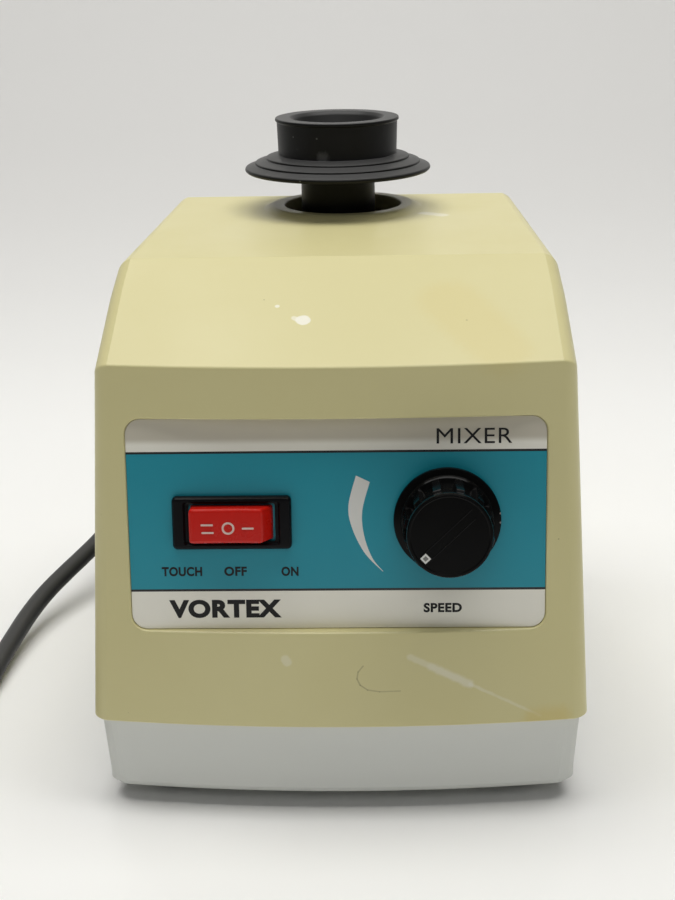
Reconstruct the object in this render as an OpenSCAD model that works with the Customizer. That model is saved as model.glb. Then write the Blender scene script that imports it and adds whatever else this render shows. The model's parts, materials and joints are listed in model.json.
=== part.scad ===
// Vortex mixer with a rubber cup head, as an assembly of separate pieces.
// Millimetres, +Z up, front towards -Y, origin on the table under the middle of the footprint.

/* [Cover] */
// Width of the cover at its lower edge
cover_w = 130; // [112:1:156]
// Depth of the cover at its lower edge
cover_d = 160; // [146:1:196]
// Height of the flat top above the table
top_z = 138.2; // [134:0.2:168]
// How far the sloping face rises from the front ridge to the flat top
slope_rise = 18.8; // [14:0.2:24]
// How far the sloping face runs back from the front ridge
slope_d = 42.8; // [34:0.2:52]
// Height of the seam between base and cover above the table
seam_z = 26; // [22:0.5:32]
// Lean of the front face, in degrees
front_lean = 8; // [2:0.5:12]
// Draft of the side walls, in degrees
side_draft = 2.5; // [0.5:0.25:4]
// Draft of the rear wall, in degrees
rear_draft = 1.5; // [0.5:0.25:4]
// Radius across which the front bulges from side to side
bow_r = 427; // [300:1:700]
// Radius of the rounded side edges
edge_r = 5; // [3.5:0.5:8]
// Radius of the rear top edge
rear_r = 6; // [4:0.5:10]
// Wall thickness of the cover
wall = 3; // [2:0.25:3.25]

/* [Base] */
// Height of the underside of the base above the table
foot_gap = 4.5; // [3:0.5:7]
// How far the base stays inside the cover's outline
base_inset = 1.4; // [0.5:0.1:2.5]
// Wall thickness of the base casting
base_wall = 5; // [4:0.5:7]
// Floor thickness of the base casting
floor_t = 4.5; // [3:0.5:7]
// Diameter of the rubber feet
foot_dia = 16; // [12:1:20]

/* [Label] */
// Width of the label plate
label_w = 106.4; // [90:0.2:110]
// Height of the label plate
label_h = 55.2; // [48:0.2:60]
// Corner radius of the label plate
label_r = 4; // [2:0.5:8]
// Thickness of the label plate
label_t = 0.5; // [0.3:0.1:0.8]
// Height of the label's middle above the table
label_z = 78.4; // [74:0.2:84]
// Depth of the label's seat below the front of the bulge
recess = 4.2; // [3.6:0.1:5]

/* [Rocker switch] */
// Place of the switch, sideways from the label's middle
switch_x = -26.6; // [-32:0.2:-22]
// Place of the switch and the knob, upwards from the label's middle
control_v = 1.3; // [-3:0.1:6]
// Width of the switch bezel
bezel_w = 30.4; // [28:0.2:34]
// Height of the switch bezel
bezel_h = 13.8; // [12.8:0.2:16]
// Width of the rocker
rocker_w = 21.5; // [18:0.1:22.4]
// Height of the rocker
rocker_h = 9.3; // [8:0.1:9.8]

/* [Speed knob] */
// Place of the knob, sideways from the label's middle
knob_x = 28.1; // [22:0.2:32]
// Diameter of the knob's skirt
skirt_dia = 27.2; // [24:0.2:32]
// Diameter of the knob's front face
knob_dia = 21.2; // [18:0.2:22.4]
// Distance of the knob's front from the label
knob_front = 18.2; // [15:0.2:22]
// Diameter of the control shaft
pot_shaft_dia = 6; // [4:0.1:7]

/* [Cup head] */
// Distance of the drive axis behind the front of the cover
axis_y = 130.3; // [118:0.1:131]
// Diameter of the hole in the top
hole_dia = 36.5; // [34:0.5:42]
// Radius of the orbit of the head
orbit_r = 2; // [1:0.1:2.4]
// Outer diameter of the cup
cup_dia = 38.3; // [34:0.1:46]
// Inner diameter of the cup's mouth
mouth_dia = 27.4; // [22:0.1:29]
// Height of the cup's rim above the flat top
rim_rise = 28.3; // [26:0.1:34]
// Diameter of the head's flange
flange_dia = 57.8; // [50:0.2:64]
// Diameter of the neck below the flange
neck_dia = 23; // [20:0.2:26]
// Diameter of the post that the cup is pushed onto
post_dia = 12; // [9:0.2:14]

/* [Motor] */
// Side of the square stator core
core_w = 48; // [44:0.5:49]
// Height of the stator core
core_h = 24; // [18:0.5:30]
// Bore of the stator core
core_bore = 25; // [22:0.5:26]
// Diameter of the motor shaft
shaft_dia = 6; // [5:0.1:7]
// Diameter of the fan
fan_dia = 42; // [34:1:44]

/* [Touch start] */
// Travel of the cup when it is pressed down
press = 1.5; // [1:0.1:2]
// Diameter of the thrust plunger
plunger_dia = 8; // [6:0.1:9]

/* [Cord] */
// Diameter of the power cord
cord_dia = 6; // [5:0.1:7]
// Mean diameter of the stored coil
coil_dia = 68; // [60:1:80]

/* [Clearances] */
// Running clearance on the radius of a shaft or pin
run = 0.04; // [0.02:0.01:0.08]
// Gap between the rotor and the stator bore
air = 0.35; // [0.3:0.05:0.6]
// Gap round the rocker and between loose neighbours
gap = 0.3; // [0.2:0.05:0.5]

/* [Hidden] */

fine = 0.01;                                   // thickness of the plates that a hull spans
half_w = cover_w / 2;
ridge_z = top_z - slope_rise;
ridge_y = (ridge_z - seam_z) * tan(front_lean);
edge_y = ridge_y + slope_d;                    // front edge of the flat top
floor_z = foot_gap + floor_t;
function bow(x) = x * x / (2 * bow_r);

// The label's frame: x to the right, y up along the face, z straight out of it, 0 on the seat
seat_y = (label_z - seam_z) * tan(front_lean) + recess / cos(front_lean);
module panel() translate([0, seat_y, label_z]) rotate([90 - front_lean, 0, 0]) children();

// Middle of the footprint, from the knob's lowest front edge to the back of the cover
knob_tip_y = seat_y + control_v * sin(front_lean) - (label_t + knob_front) * cos(front_lean)
    - knob_dia / 2 * sin(front_lean);
mid_y = (knob_tip_y + cover_d) / 2;
module place() translate([0, -mid_y, 0]) children();

// Colours
cream = [0.80, 0.76, 0.58];
off_white = [0.80, 0.80, 0.77];
teal = [0.10, 0.45, 0.52];
black = [0.06, 0.06, 0.065];
red = [0.80, 0.08, 0.08];
rubber = [0.09, 0.09, 0.10];
steel = [0.62, 0.63, 0.65];
brass = [0.78, 0.64, 0.34];
copper = [0.72, 0.38, 0.20];
nylon = [0.86, 0.85, 0.80];

// Plain shapes that repeat
module ring(outer_r, inner_r, h) difference() {
    cylinder(r = outer_r, h = h);
    translate([0, 0, -1]) cylinder(r = inner_r, h = h + 2);
}
module round_rect(w, h, r) {
    square([w - 2 * r, h], center = true);
    square([w, h - 2 * r], center = true);
    for (sx = [-1, 1], sy = [-1, 1]) translate([sx * (w / 2 - r), sy * (h / 2 - r)]) circle(r = r);
}
module round_plate(w, h, r, t) linear_extrude(t) round_rect(w, h, r);
module at_axis(z = 0) translate([0, axis_y, z]) children();
module corners(x, y) for (sx = [-1, 1], sy = [-1, 1]) translate([sx * x, sy * y, 0]) children();

// ---- Cover ----
// The side outline as straight stretches [unit normal, reach], anticlockwise from the bottom
rear_n = [cos(rear_draft), sin(rear_draft)];
rear_reach = rear_n * [cover_d, seam_z];
rear_mid = [(rear_reach - rear_r - rear_n[1] * (top_z - rear_r)) / rear_n[0], top_z - rear_r];
front_n = [-cos(front_lean), sin(front_lean)];
function slope_n(b) = let (a = atan2(slope_rise, slope_d - b)) [-sin(a), cos(a)];
function stretches(b) = concat(
    [[[0, -1], below - seam_z], [rear_n, rear_reach]],
    [for (a = [22.5, 45, 67.5]) [[cos(a), sin(a)], [cos(a), sin(a)] * rear_mid + rear_r]],
    [[[0, 1], top_z], [slope_n(b), slope_n(b) * [edge_y, top_z]], [front_n, front_n * [b, seam_z]]]);
function meet(p, q, dp, dq) =
    let (n = p[0], m = q[0], c = p[1] - dp, k = q[1] - dq, s = n[0] * m[1] - n[1] * m[0])
    [(c * m[1] - k * n[1]) / s, (n[0] * k - m[0] * c) / s];
// Corner points of the outline at a bulge of b, its stretches moved in by d and its bottom left where it is
function outline(b, d) = let (s = stretches(b), n = len(s))
    [for (i = [0:n - 1]) meet(s[i], s[(i + 1) % n], i == 0 ? 0 : d, i == n - 1 ? 0 : d)];
module slab(x, b, d)
    translate([x, 0, 0]) rotate([90, 0, 90]) linear_extrude(fine, center = true) polygon(outline(b, d));
// The whole body with its faces moved in by d and side edges of radius r, run on below the seam
below = 6;
module body_solid(d, r) hull() {
    for (x = [-0.375:0.125:0.375]) slab(x * cover_w, bow(x * cover_w), d);
    for (side = [-1, 1], a = [0:15:90])
        translate([side * half_w, 0, seam_z]) rotate([0, -side * side_draft, 0])
            translate([0, 0, -seam_z])
                slab(side * (r * sin(a) - r - d), bow(half_w - d), d + r * (1 - cos(a)));
}
boss_z = seam_z + 4.2;                         // underside of the cover's screw bosses
boss_r = 4.5;
boss_x = half_w - wall - boss_r + 0.5;
boss_front = 12.5;
boss_back = cover_d - 9;
lip_r = hole_dia / 2 + 7;
relief_x = -28;
relief_z = seam_z + 8;
tether_x = 33;
module boss_places() for (sx = [-1, 1], y = [boss_front, boss_back])
    translate([sx * boss_x, y, 0]) children();
module cover() color(cream) difference() {
    union() {
        difference() {
            body_solid(0, edge_r);
            body_solid(wall, edge_r - wall + 0.01);
        }
        intersection() {                       // pad behind the label and bosses, kept inside the outline
            body_solid(wall / 2, edge_r - wall / 2);
            union() {
                panel() translate([0, 0, -wall])
                    round_plate(label_w + 6, label_h + 6, label_r + 3, wall + recess);
                boss_places() translate([0, 0, boss_z]) ring(boss_r, 1.5, 14);
                translate([tether_x, axis_y + pin_y, top_z - 20]) cylinder(r = 2.5, h = 18);
            }
        }
        at_axis(top_z - 0.5) cylinder(r1 = lip_r + 0.5, r2 = lip_r - 3.5, h = 2);
    }
    translate([-cover_w, -cover_d / 2, seam_z - 50]) cube([2 * cover_w, 2 * cover_d, 50]);
    panel() round_plate(label_w + gap, label_h + gap, label_r + gap / 2, 20);
    panel() translate([switch_x, control_v, -20]) linear_extrude(40)
        square([switch_w + gap, switch_h + gap], center = true);
    panel() translate([knob_x, control_v, -20]) cylinder(r = bush_r + 0.15, h = 40);
    at_axis(top_z - 20) cylinder(d = hole_dia, h = 40);
    at_relief() translate([0, 0, -10]) cylinder(r = relief_neck_r, h = 15);
}

// ---- Base ----
base_half = half_w - base_inset;
plan_r = 6;
// Outline of the base seen from above, moved in by d
function plan(d) = let (h = base_half - d, y0 = base_inset + d, y1 = cover_d - base_inset - d, c = h - plan_r)
    concat([for (k = [-8:8]) [k / 8 * c, y0 + bow(k / 8 * c)]],
        [for (a = [285:15:360]) [c + plan_r * cos(a), y0 + bow(c) + plan_r + plan_r * sin(a)]],
        [for (a = [0:15:90]) [c + plan_r * cos(a), y1 - plan_r + plan_r * sin(a)]],
        [for (a = [90:15:180]) [-c + plan_r * cos(a), y1 - plan_r + plan_r * sin(a)]],
        [for (a = [180:15:255]) [-c + plan_r * cos(a), y0 + bow(c) + plan_r + plan_r * sin(a)]]);
module plan_plate(z, d) translate([0, 0, z]) linear_extrude(fine) polygon(plan(d));
foot_x = half_w - 18;
foot_front = 21;
foot_back = cover_d - 20;
foot_seat = 1.5;
module foot_places() for (sx = [-1, 1], y = [foot_front, foot_back])
    translate([sx * foot_x, y, 0]) children();
mount_x = core_w / 2 + 8;
mount_y = 14;
mount_z = floor_z + 27;
board_z = floor_z + 12;
board_y = 48;
board_w = 58;
board_d = 44;
module board_places() translate([0, board_y, 0]) corners(board_w / 2 - 4, board_d / 2 - 4) children();
guide_r = plunger_dia / 2 + 2;
guide_top = floor_z + 12;
module base_casting() color(off_white) difference() {
    union() {
        difference() {
            hull() {
                plan_plate(foot_gap, 3);
                plan_plate(foot_gap + 0.7, 1.9);
                plan_plate(foot_gap + 2, 1.3);
                plan_plate(seam_z - fine, 0);
            }
            translate([0, 0, floor_z]) linear_extrude(seam_z) polygon(plan(base_wall));
        }
        translate([0, 0, seam_z - 2]) linear_extrude(5.5) difference() {
            polygon(plan(wall - base_inset + 1));
            polygon(plan(wall - base_inset + 3));
        }
        boss_places() translate([0, 0, foot_gap + 1]) {
            cylinder(r = boss_r, h = seam_z - foot_gap - 1.5);
            cylinder(r = 3.2, h = boss_z - 0.2 - foot_gap - 1);
        }
        foot_places() translate([0, 0, floor_z - 1]) cylinder(r = 5, h = 7);
        at_axis(floor_z - 1) corners(mount_x, mount_y) cylinder(r = 5, h = mount_z - floor_z + 1);
        at_axis(floor_z - 1) cylinder(r = guide_r + 4, h = guide_top - floor_z + 1);
        board_places() translate([0, 0, floor_z - 1]) cylinder(r = 3.5, h = board_z - floor_z + 1);
    }
    boss_places() {
        translate([0, 0, foot_gap - 1]) cylinder(r = 2.2, h = 40);
        translate([0, 0, foot_gap - 1]) cylinder(r = 4, h = 4.5);
    }
    foot_places() {
        translate([0, 0, foot_gap - 1]) cylinder(d = foot_dia + gap, h = foot_seat + 1);
        translate([0, 0, foot_gap - 1]) cylinder(r = 1.6, h = 10);
    }
    at_axis(floor_z) corners(mount_x, mount_y) cylinder(r = 1.6, h = 40);
    at_axis(floor_z) cylinder(r = guide_r, h = 40);
    board_places() translate([0, 0, floor_z]) cylinder(r = 1.2, h = 20);
    bracket_screw_place() cylinder(r = 1.2, h = 10, center = true);
    at_relief() translate([0, 0, -12]) cylinder(r = relief_neck_r + 1.5 + gap, h = 12);
    for (k = [-3:3])
        translate([k * 9, cover_d / 2 + 12, foot_gap - 1]) linear_extrude(floor_t + 2) slot(3, 22);
}
module slot(w, l) {
    square([w, l - w], center = true);
    for (s = [-1, 1]) translate([0, s * (l - w) / 2]) circle(d = w);
}
module foot(i) color(rubber) foot_at(i) difference() {
    union() {
        cylinder(d1 = foot_dia - 3, d2 = foot_dia, h = 3);
        translate([0, 0, 3]) cylinder(d = foot_dia, h = foot_gap + foot_seat - 3);
    }
    translate([0, 0, -1]) cylinder(r = 4, h = 3.5);
    translate([0, 0, 1]) cylinder(r = 1.6, h = 10);
}
module foot_at(i) translate([(i % 2 == 0 ? 1 : -1) * foot_x, i < 3 ? foot_front : foot_back, 0]) children();
// A screw with its head up to z = 0 and its shank along +Z
module screw(head_r, head_h, shank_r, l) {
    difference() {
        translate([0, 0, -head_h]) cylinder(r = head_r, h = head_h);
        for (a = [0, 90])
            rotate(a) translate([-head_r * 0.6, -0.4, -head_h - 1]) cube([head_r * 1.2, 0.8, 1.7]);
    }
    cylinder(r = shank_r, h = l);
}
module foot_screws() color(steel) foot_places() translate([0, 0, 2.5]) screw(3.2, 1.8, 1.6, 9);
module cover_screws() color(steel)
    boss_places() translate([0, 0, foot_gap + 3.5]) screw(3.5, 2.2, 1.5, boss_z + 9 - foot_gap - 3.5);

// ---- Label and controls ----
switch_w = bezel_w - 3.6;
switch_h = bezel_h - 2.4;
bush_r = 3.5;
module label_plate() color(teal) panel() linear_extrude(label_t) difference() {
    round_rect(label_w, label_h, label_r);
    translate([switch_x, control_v]) square([switch_w + gap, switch_h + gap], center = true);
    translate([knob_x, control_v]) circle(r = bush_r + 0.15);
}
module at_switch(z = 0) panel() translate([switch_x, control_v, label_t + z]) children();
bezel_t = 2;
rocker_pivot = -0.3;
rocker_reach = rocker_w / 2;
trunnion_r = 1;
well_w = rocker_w + 2 * gap;
well_h = rocker_h + 2 * gap;
module switch_body() color(black) at_switch() difference() {
    union() {
        round_plate(bezel_w, bezel_h, 1.2, bezel_t - 0.6);
        translate([0, 0, bezel_t - 0.6]) round_plate(bezel_w - 0.8, bezel_h - 0.8, 0.8, 0.6);
        translate([0, 0, -18]) linear_extrude(18.5) square([switch_w, switch_h], center = true);
    }
    translate([0, 0, rocker_pivot - 7]) linear_extrude(20) square([well_w, well_h], center = true);
    translate([0, 0, rocker_pivot]) rotate([90, 0, 0])
        cylinder(r = trunnion_r + run, h = well_h + 1.2, center = true);
}
module switch_rocker() color(red) at_switch(rocker_pivot) {
    rotate([90, 0, 0]) linear_extrude(rocker_h, center = true) {
        intersection() {
            circle(r = rocker_reach);
            translate([-rocker_reach, -4.5]) square([2 * rocker_reach, 6.6]);
        }
        polygon([[-rocker_reach + 0.45, 2], [rocker_reach - 0.45, 2], [rocker_reach - 2.2, 5.6],
            [0, 5.2], [-rocker_reach + 1.0, 5.6]]);
    }
    rotate([90, 0, 0]) cylinder(r = trunnion_r, h = well_h + 0.8, center = true);
}
module switch_terminals() color(steel) at_switch(-26)
    for (x = [-8, 0, 8]) translate([x, 0, 4]) cube([0.8, 6.3, 8], center = true);

module at_knob(z = 0) panel() translate([knob_x, control_v, label_t + z]) children();
flutes = 24;
skirt_z = 1.2;
skirt_t = 1.6;
marker_a = 222;                                // pointer at its lowest speed, anticlockwise from the right
module speed_knob() color(black) at_knob() difference() {
    union() {
        translate([0, 0, skirt_z]) cylinder(d = skirt_dia, h = skirt_t);
        translate([0, 0, skirt_z + 0.4]) linear_extrude(knob_front - 3 - skirt_z) difference() {
            circle(d = knob_dia + 1.2);
            for (k = [0:flutes - 1]) rotate((k + 0.5) * 360 / flutes)
                translate([knob_dia / 2 + 1.2, 0]) circle(r = 1.1);
        }
        translate([0, 0, knob_front - 3]) cylinder(d = knob_dia, h = 3);
    }
    translate([0, 0, -1]) cylinder(r = pot_shaft_dia / 2 + 0.02, h = knob_front - 2.2);
    translate([0, 0, -1]) cylinder(r = 8, h = 5.6);
    rotate(marker_a) translate([knob_dia * 0.39, 0, knob_front - 0.6]) cylinder(r = 1.1, h = 2);
}
module knob_marker() color("white") at_knob()
    rotate(marker_a) translate([knob_dia * 0.39, 0, knob_front - 0.6]) cylinder(r = 1.1, h = 0.62);
pot_seat = -wall;                              // the control hangs behind the pad
module pot_body() color(steel) at_knob(-label_t) difference() {
    union() {
        translate([0, 0, pot_seat - 9]) cylinder(r = 8.5, h = 9);
        for (x = [-5, 0, 5]) translate([x - 0.8, -14, pot_seat - 8]) cube([1.6, 9, 0.6]);
        translate([0, 0, pot_seat - 0.1]) cylinder(r = bush_r, h = wall + 4.6);
    }
    translate([0, 0, pot_seat - 7]) cylinder(r = pot_shaft_dia / 2 + run, h = 30);
}
module pot_shaft() color(steel) at_knob(-label_t)
    translate([0, 0, pot_seat - 6.8])
        cylinder(d = pot_shaft_dia, h = knob_front + label_t - 3.3 - pot_seat + 6.8);
module pot_washer() color(steel) at_knob() ring(6.2, bush_r + 0.05, 0.8);
module pot_nut() color(steel) at_knob(0.8) difference() {
    cylinder(d = 11.5, h = 2, $fn = 6);
    translate([0, 0, -1]) cylinder(r = bush_r, h = 4);
}

// ---- Cup head and drive ----
rest_a = 225;                                  // direction of the crank pin at rest
pin_x = orbit_r * cos(rest_a);
pin_y = orbit_r * sin(rest_a);
module at_pin(z = 0) translate([pin_x, axis_y + pin_y, z]) children();
hub_top = top_z - 3.2;
hub_r = 14;
bearing_z = hub_top - 17;
bearing_h = 7;
bearing_r = 11;
pin_r = 4;
rim_z = top_z + rim_rise;
flange_z = rim_z - 16.4;                       // underside of the flange's edge
neck_z = hub_top + 0.2;
module cup_head() color(rubber) at_pin() difference() {
    rotate_extrude() polygon([[0, neck_z], [neck_dia / 2, neck_z], [neck_dia / 2, flange_z + 0.4],
        [flange_dia / 2 - 6, flange_z - 0.4], [flange_dia / 2 - 0.6, flange_z],
        [flange_dia / 2, flange_z + 0.6],
        [flange_dia / 2 - 0.2, flange_z + 1.4], [flange_dia / 2 - 3.2, flange_z + 2.4],
        [flange_dia / 2 - 3.4, flange_z + 3.0], [flange_dia / 2 - 6.6, flange_z + 3.9],
        [flange_dia / 2 - 6.8, flange_z + 4.5], [cup_dia / 2 - 0.8, flange_z + 5.2],
        [cup_dia / 2 - 0.5, rim_z - 1.2], [cup_dia / 2, rim_z - 0.9], [cup_dia / 2 - 0.2, rim_z],
        [mouth_dia / 2 + 1, rim_z], [mouth_dia / 2, rim_z - 1], [mouth_dia / 2 - 3, rim_z - 7],
        [mouth_dia / 2 - 7.5, rim_z - 11.5], [2.5, rim_z - 13], [0, rim_z - 13]]);
    translate([0, 0, neck_z - 1]) cylinder(r = post_dia / 2 + run, h = post_h + 1.3);
}
post_h = 12;
module head_hub() color(steel) at_pin() {
    difference() {
        translate([0, 0, bearing_z - 1]) cylinder(r = hub_r, h = hub_top - bearing_z + 1);
        translate([0, 0, bearing_z - 2]) cylinder(r = bearing_r, h = bearing_h + 2);
        translate([0, 0, bearing_z]) cylinder(r = bearing_r - 1.5, h = 14);
    }
    translate([0, 0, hub_top - 1]) cylinder(d = post_dia, h = post_h + 1);
    translate([hub_r - 0.5, 0, tether_z]) rotate([0, 90, 0]) cylinder(r = 1.2, h = 2.5);
}
tether_z = top_z - 13;
module tether_spring() color(steel)
    translate([pin_x + hub_r + 2, axis_y + pin_y, tether_z]) rotate([0, 90, 0])
        cylinder(r = 1.9, h = tether_x - 2.5 - pin_x - hub_r - 2);
ball_r = 1.95;
ball_track = 7.5;
module bearing_outer() color(steel) at_pin(bearing_z) difference() {
    ring(bearing_r, 9, bearing_h);
    translate([0, 0, bearing_h / 2]) rotate_extrude() translate([ball_track, 0]) circle(r = ball_r + 0.01);
}
module bearing_inner() color(steel) at_pin(bearing_z) difference() {
    ring(6, pin_r, bearing_h);
    translate([0, 0, bearing_h / 2]) rotate_extrude() translate([ball_track, 0]) circle(r = ball_r + run);
}
module bearing_balls() color(steel) at_pin(bearing_z + bearing_h / 2)
    for (k = [0:6]) rotate(k * 360 / 7) translate([ball_track, 0, 0]) sphere(r = ball_r);
module circlip() color(steel) at_pin(bearing_z + bearing_h) difference() {
    ring(5.2, pin_r - 0.5, 0.8);
    translate([0, -1, -1]) cube([8, 2, 3]);
}
ecc_r = 13;
ecc_h = 12;
ecc_z = bearing_z - 1.8 - ecc_h;
module eccentric() color(steel) difference() {
    union() {
        at_axis(ecc_z) cylinder(r = ecc_r, h = ecc_h);
        at_pin(ecc_z + ecc_h - 1) cylinder(r = 5.5, h = 2.8);
        at_pin(ecc_z + ecc_h) difference() {
            cylinder(r = pin_r, h = bearing_h + 5);
            translate([0, 0, bearing_h + 1.8]) ring(pin_r + 1, pin_r - 0.5, 0.8);
        }
    }
    at_axis(ecc_z - 1) cylinder(d = shaft_dia, h = ecc_h - 1);
    at_axis(ecc_z + ecc_h / 2) rotate([0, 90, rest_a + 90]) cylinder(r = 2, h = 20);
}
module set_screw() color([0.2, 0.2, 0.2]) at_axis(ecc_z + ecc_h / 2) rotate([0, 90, rest_a + 90])
    translate([0, 0, shaft_dia / 2]) difference() {
        cylinder(r = 2, h = 8);
        translate([0, 0, 5.5]) cylinder(r = 1, h = 4, $fn = 6);
    }
module counterweight() color(brass) at_axis(ecc_z + 2) rotate(rest_a + 180) intersection() {
    ring(ecc_r + 7, ecc_r, ecc_h - 4);
    rotate(-55) cube([40, 40, 60]);
    rotate(-35) cube([40, 40, 60]);
}
spring_h = 7;
plunger_z = floor_z + 1 + spring_h;
collar_z = floor_z + 16.6;
plunger_top = collar_z + 8;
shaft_z = plunger_top + 4.55;
module motor_shaft() color(steel) at_axis(shaft_z) cylinder(d = shaft_dia, h = ecc_z + ecc_h - 2 - shaft_z);
core_z = floor_z + 44;
upper_z = core_z + core_h;
module rotor_core() color([0.45, 0.45, 0.47]) at_axis(core_z + press / 2)
    ring(core_bore / 2 - air, shaft_dia / 2, core_h);
blades = 9;
fan_z = upper_z + 18.5;
fan_h = 7;
module fan() color(nylon) at_axis(fan_z) {
    ring(6, shaft_dia / 2, fan_h);
    difference() {
        union() {
            cylinder(d = fan_dia, h = 1.2);
            for (k = [0:blades - 1])
                rotate(k * 360 / blades) translate([5, -0.6, 0]) cube([fan_dia / 2 - 5.2, 1.2, fan_h]);
        }
        translate([0, 0, -1]) cylinder(r = 5.5, h = fan_h + 2);
    }
}

// ---- Motor ----
yoke = 4.5;
pole_w = 18;
shoe_r = core_bore / 2 + 2.3;
bolt_at = core_w / 2 - 3.6;
inner = core_w / 2 - yoke;
module stator_core() color([0.50, 0.50, 0.52]) at_axis(core_z) linear_extrude(core_h) difference() {
    union() {
        difference() {
            square(core_w, center = true);
            intersection() {
                square(2 * inner, center = true);
                circle(r = inner * 1.28);
            }
        }
        square([pole_w, 2 * inner + 1], center = true);
        intersection() {
            circle(r = shoe_r);
            square([shoe_r * 1.73, 2 * shoe_r], center = true);
        }
    }
    circle(d = core_bore);
    for (sx = [-1, 1]) translate([sx * shoe_r, 0]) square([8, 10], center = true);
    for (sx = [-1, 1], sy = [-1, 1]) translate([sx * bolt_at, sy * bolt_at]) circle(r = 1.6);
}
coil_h = 5;
module winding(s) color(copper)
    at_axis() translate([0, s * (shoe_r + inner) / 2, core_z + core_h / 2]) rotate([90, 0, 0])
        linear_extrude(inner - 0.6 - shoe_r, center = true) difference() {
            round_rect(pole_w + 7, core_h + 2 * coil_h, 3);
            square([pole_w + 0.2, core_h + 0.2], center = true);
        }
leg_h = 8;
plate_t = 2.5;
bush_hub_r = 8;
bush_out_r = 5;
// A motor bracket with its plate at z = 0, its legs and hub upwards
module bracket(ears) {
    difference() {
        union() {
            linear_extrude(plate_t) {
                round_rect(core_w, core_w, 4);
                if (ears) round_rect(2 * mount_x + 14, 2 * mount_y + 14, 5);
            }
            corners(bolt_at, bolt_at) cylinder(r = 3.4, h = plate_t + leg_h);
            translate([0, 0, -4]) cylinder(r = bush_hub_r, h = 10);
        }
        translate([0, 0, -5]) cylinder(r = bush_out_r, h = 20);
        corners(bolt_at, bolt_at) translate([0, 0, -1]) cylinder(r = 1.6, h = 20);
        if (ears) corners(mount_x, mount_y) translate([0, 0, -1]) cylinder(r = grommet_neck, h = 6);
        for (a = [0:90:270]) rotate(a) translate([0, bush_hub_r + 7.2, -1]) cylinder(r = 6, h = 6);
    }
}
grommet_neck = 4;
lower_z = core_z - leg_h - plate_t;
module lower_bracket() color(steel) at_axis(lower_z) bracket(true);
module upper_bracket() color(steel) at_axis(upper_z + leg_h + plate_t) mirror([0, 0, 1]) bracket(false);
module bush() difference() {
    ring(bush_out_r, shaft_dia / 2 + run, 10);
    for (s = [0, 1]) translate([0, 0, s * 10]) rotate([s * 180, 0, 0])
        translate([0, 0, -0.01]) cylinder(r1 = shaft_dia / 2 + 0.6, r2 = shaft_dia / 2, h = 0.6);
}
module lower_bush() color(brass) at_axis(lower_z - 4) bush();
module upper_bush() color(brass) at_axis(upper_z + leg_h + plate_t - 6) bush();
module motor_bolts() color(steel) at_axis(lower_z) corners(bolt_at, bolt_at) {
    screw(3, 2, 1.6, core_h + 2 * leg_h + 2 * plate_t);
    translate([0, 0, core_h + 2 * leg_h + 2 * plate_t]) cylinder(d = 6, h = 2.2, $fn = 6);
}
module motor_grommets() color(rubber) at_axis(mount_z) corners(mount_x, mount_y) difference() {
    union() {
        cylinder(r = 6, h = lower_z - mount_z);
        cylinder(r = grommet_neck, h = lower_z - mount_z + plate_t + 1);
        translate([0, 0, lower_z - mount_z + plate_t]) cylinder(r = 5.6, h = 2.5);
    }
    translate([0, 0, -1]) cylinder(r = 1.9, h = 20);
}
module motor_screws() color(steel) at_axis(lower_z + plate_t + 2.5) corners(mount_x, mount_y)
    rotate([180, 0, 0]) screw(3.6, 2.2, 1.6, 20);

// ---- Touch start ----
module plunger_guide() color(brass) at_axis(floor_z) {
    ring(guide_r, plunger_dia / 2 + run, guide_top - floor_z + 1.5);
    translate([0, 0, guide_top - floor_z]) ring(guide_r + 1.5, plunger_dia / 2 + run, 1.5);
}
module thrust_plunger() color(nylon) at_axis() difference() {
    union() {
        translate([0, 0, plunger_z]) cylinder(d = plunger_dia, h = plunger_top - plunger_z + 1.5);
        translate([0, 0, collar_z]) cylinder(r = 13, h = 2);
    }
    translate([0, 0, plunger_top + 2]) sphere(r = 2.5);
}
module thrust_ball() color(steel) at_axis(plunger_top + 2) sphere(r = 2.5);
module touch_spring() color(steel)
    at_axis(floor_z) ring(plunger_dia / 2 - 0.6, plunger_dia / 2 - 1.6, spring_h + 1);
lever_x = 29;
lever_z = collar_z - 2.9;
tip_x = 9.5;
sw_z = lever_z - 11.5;
sw_holes = [15.5, 24.5];
module microswitch_body() color(black) at_axis() difference() {
    translate([12, -3.2, sw_z]) cube([20, 6.4, 10]);
    translate([23.5, 0, sw_z + 6]) cylinder(r = 1 + run, h = 10);
    for (x = sw_holes)
        translate([x, 0, sw_z + 3]) rotate([90, 0, 0]) cylinder(r = 1.2, h = 10, center = true);
}
module microswitch_button() color(red) at_axis() translate([23.5, 0, sw_z + 6.6]) cylinder(r = 1, h = 4.55);
module microswitch_lever() color(steel) at_axis() {
    translate([lever_x, 0, lever_z]) rotate([90, 0, 0]) linear_extrude(4.4, center = true) difference() {
        union() {
            circle(r = 0.9);
            polygon([[0, 0.4], [tip_x - lever_x, 2.4], [tip_x - lever_x, 2.8], [0, 0.85]]);
        }
        circle(r = 0.45);
    }
}
module bracket_screw_place() at_axis(floor_z + 1.5) translate([19.5, 12, 0]) children();
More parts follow.
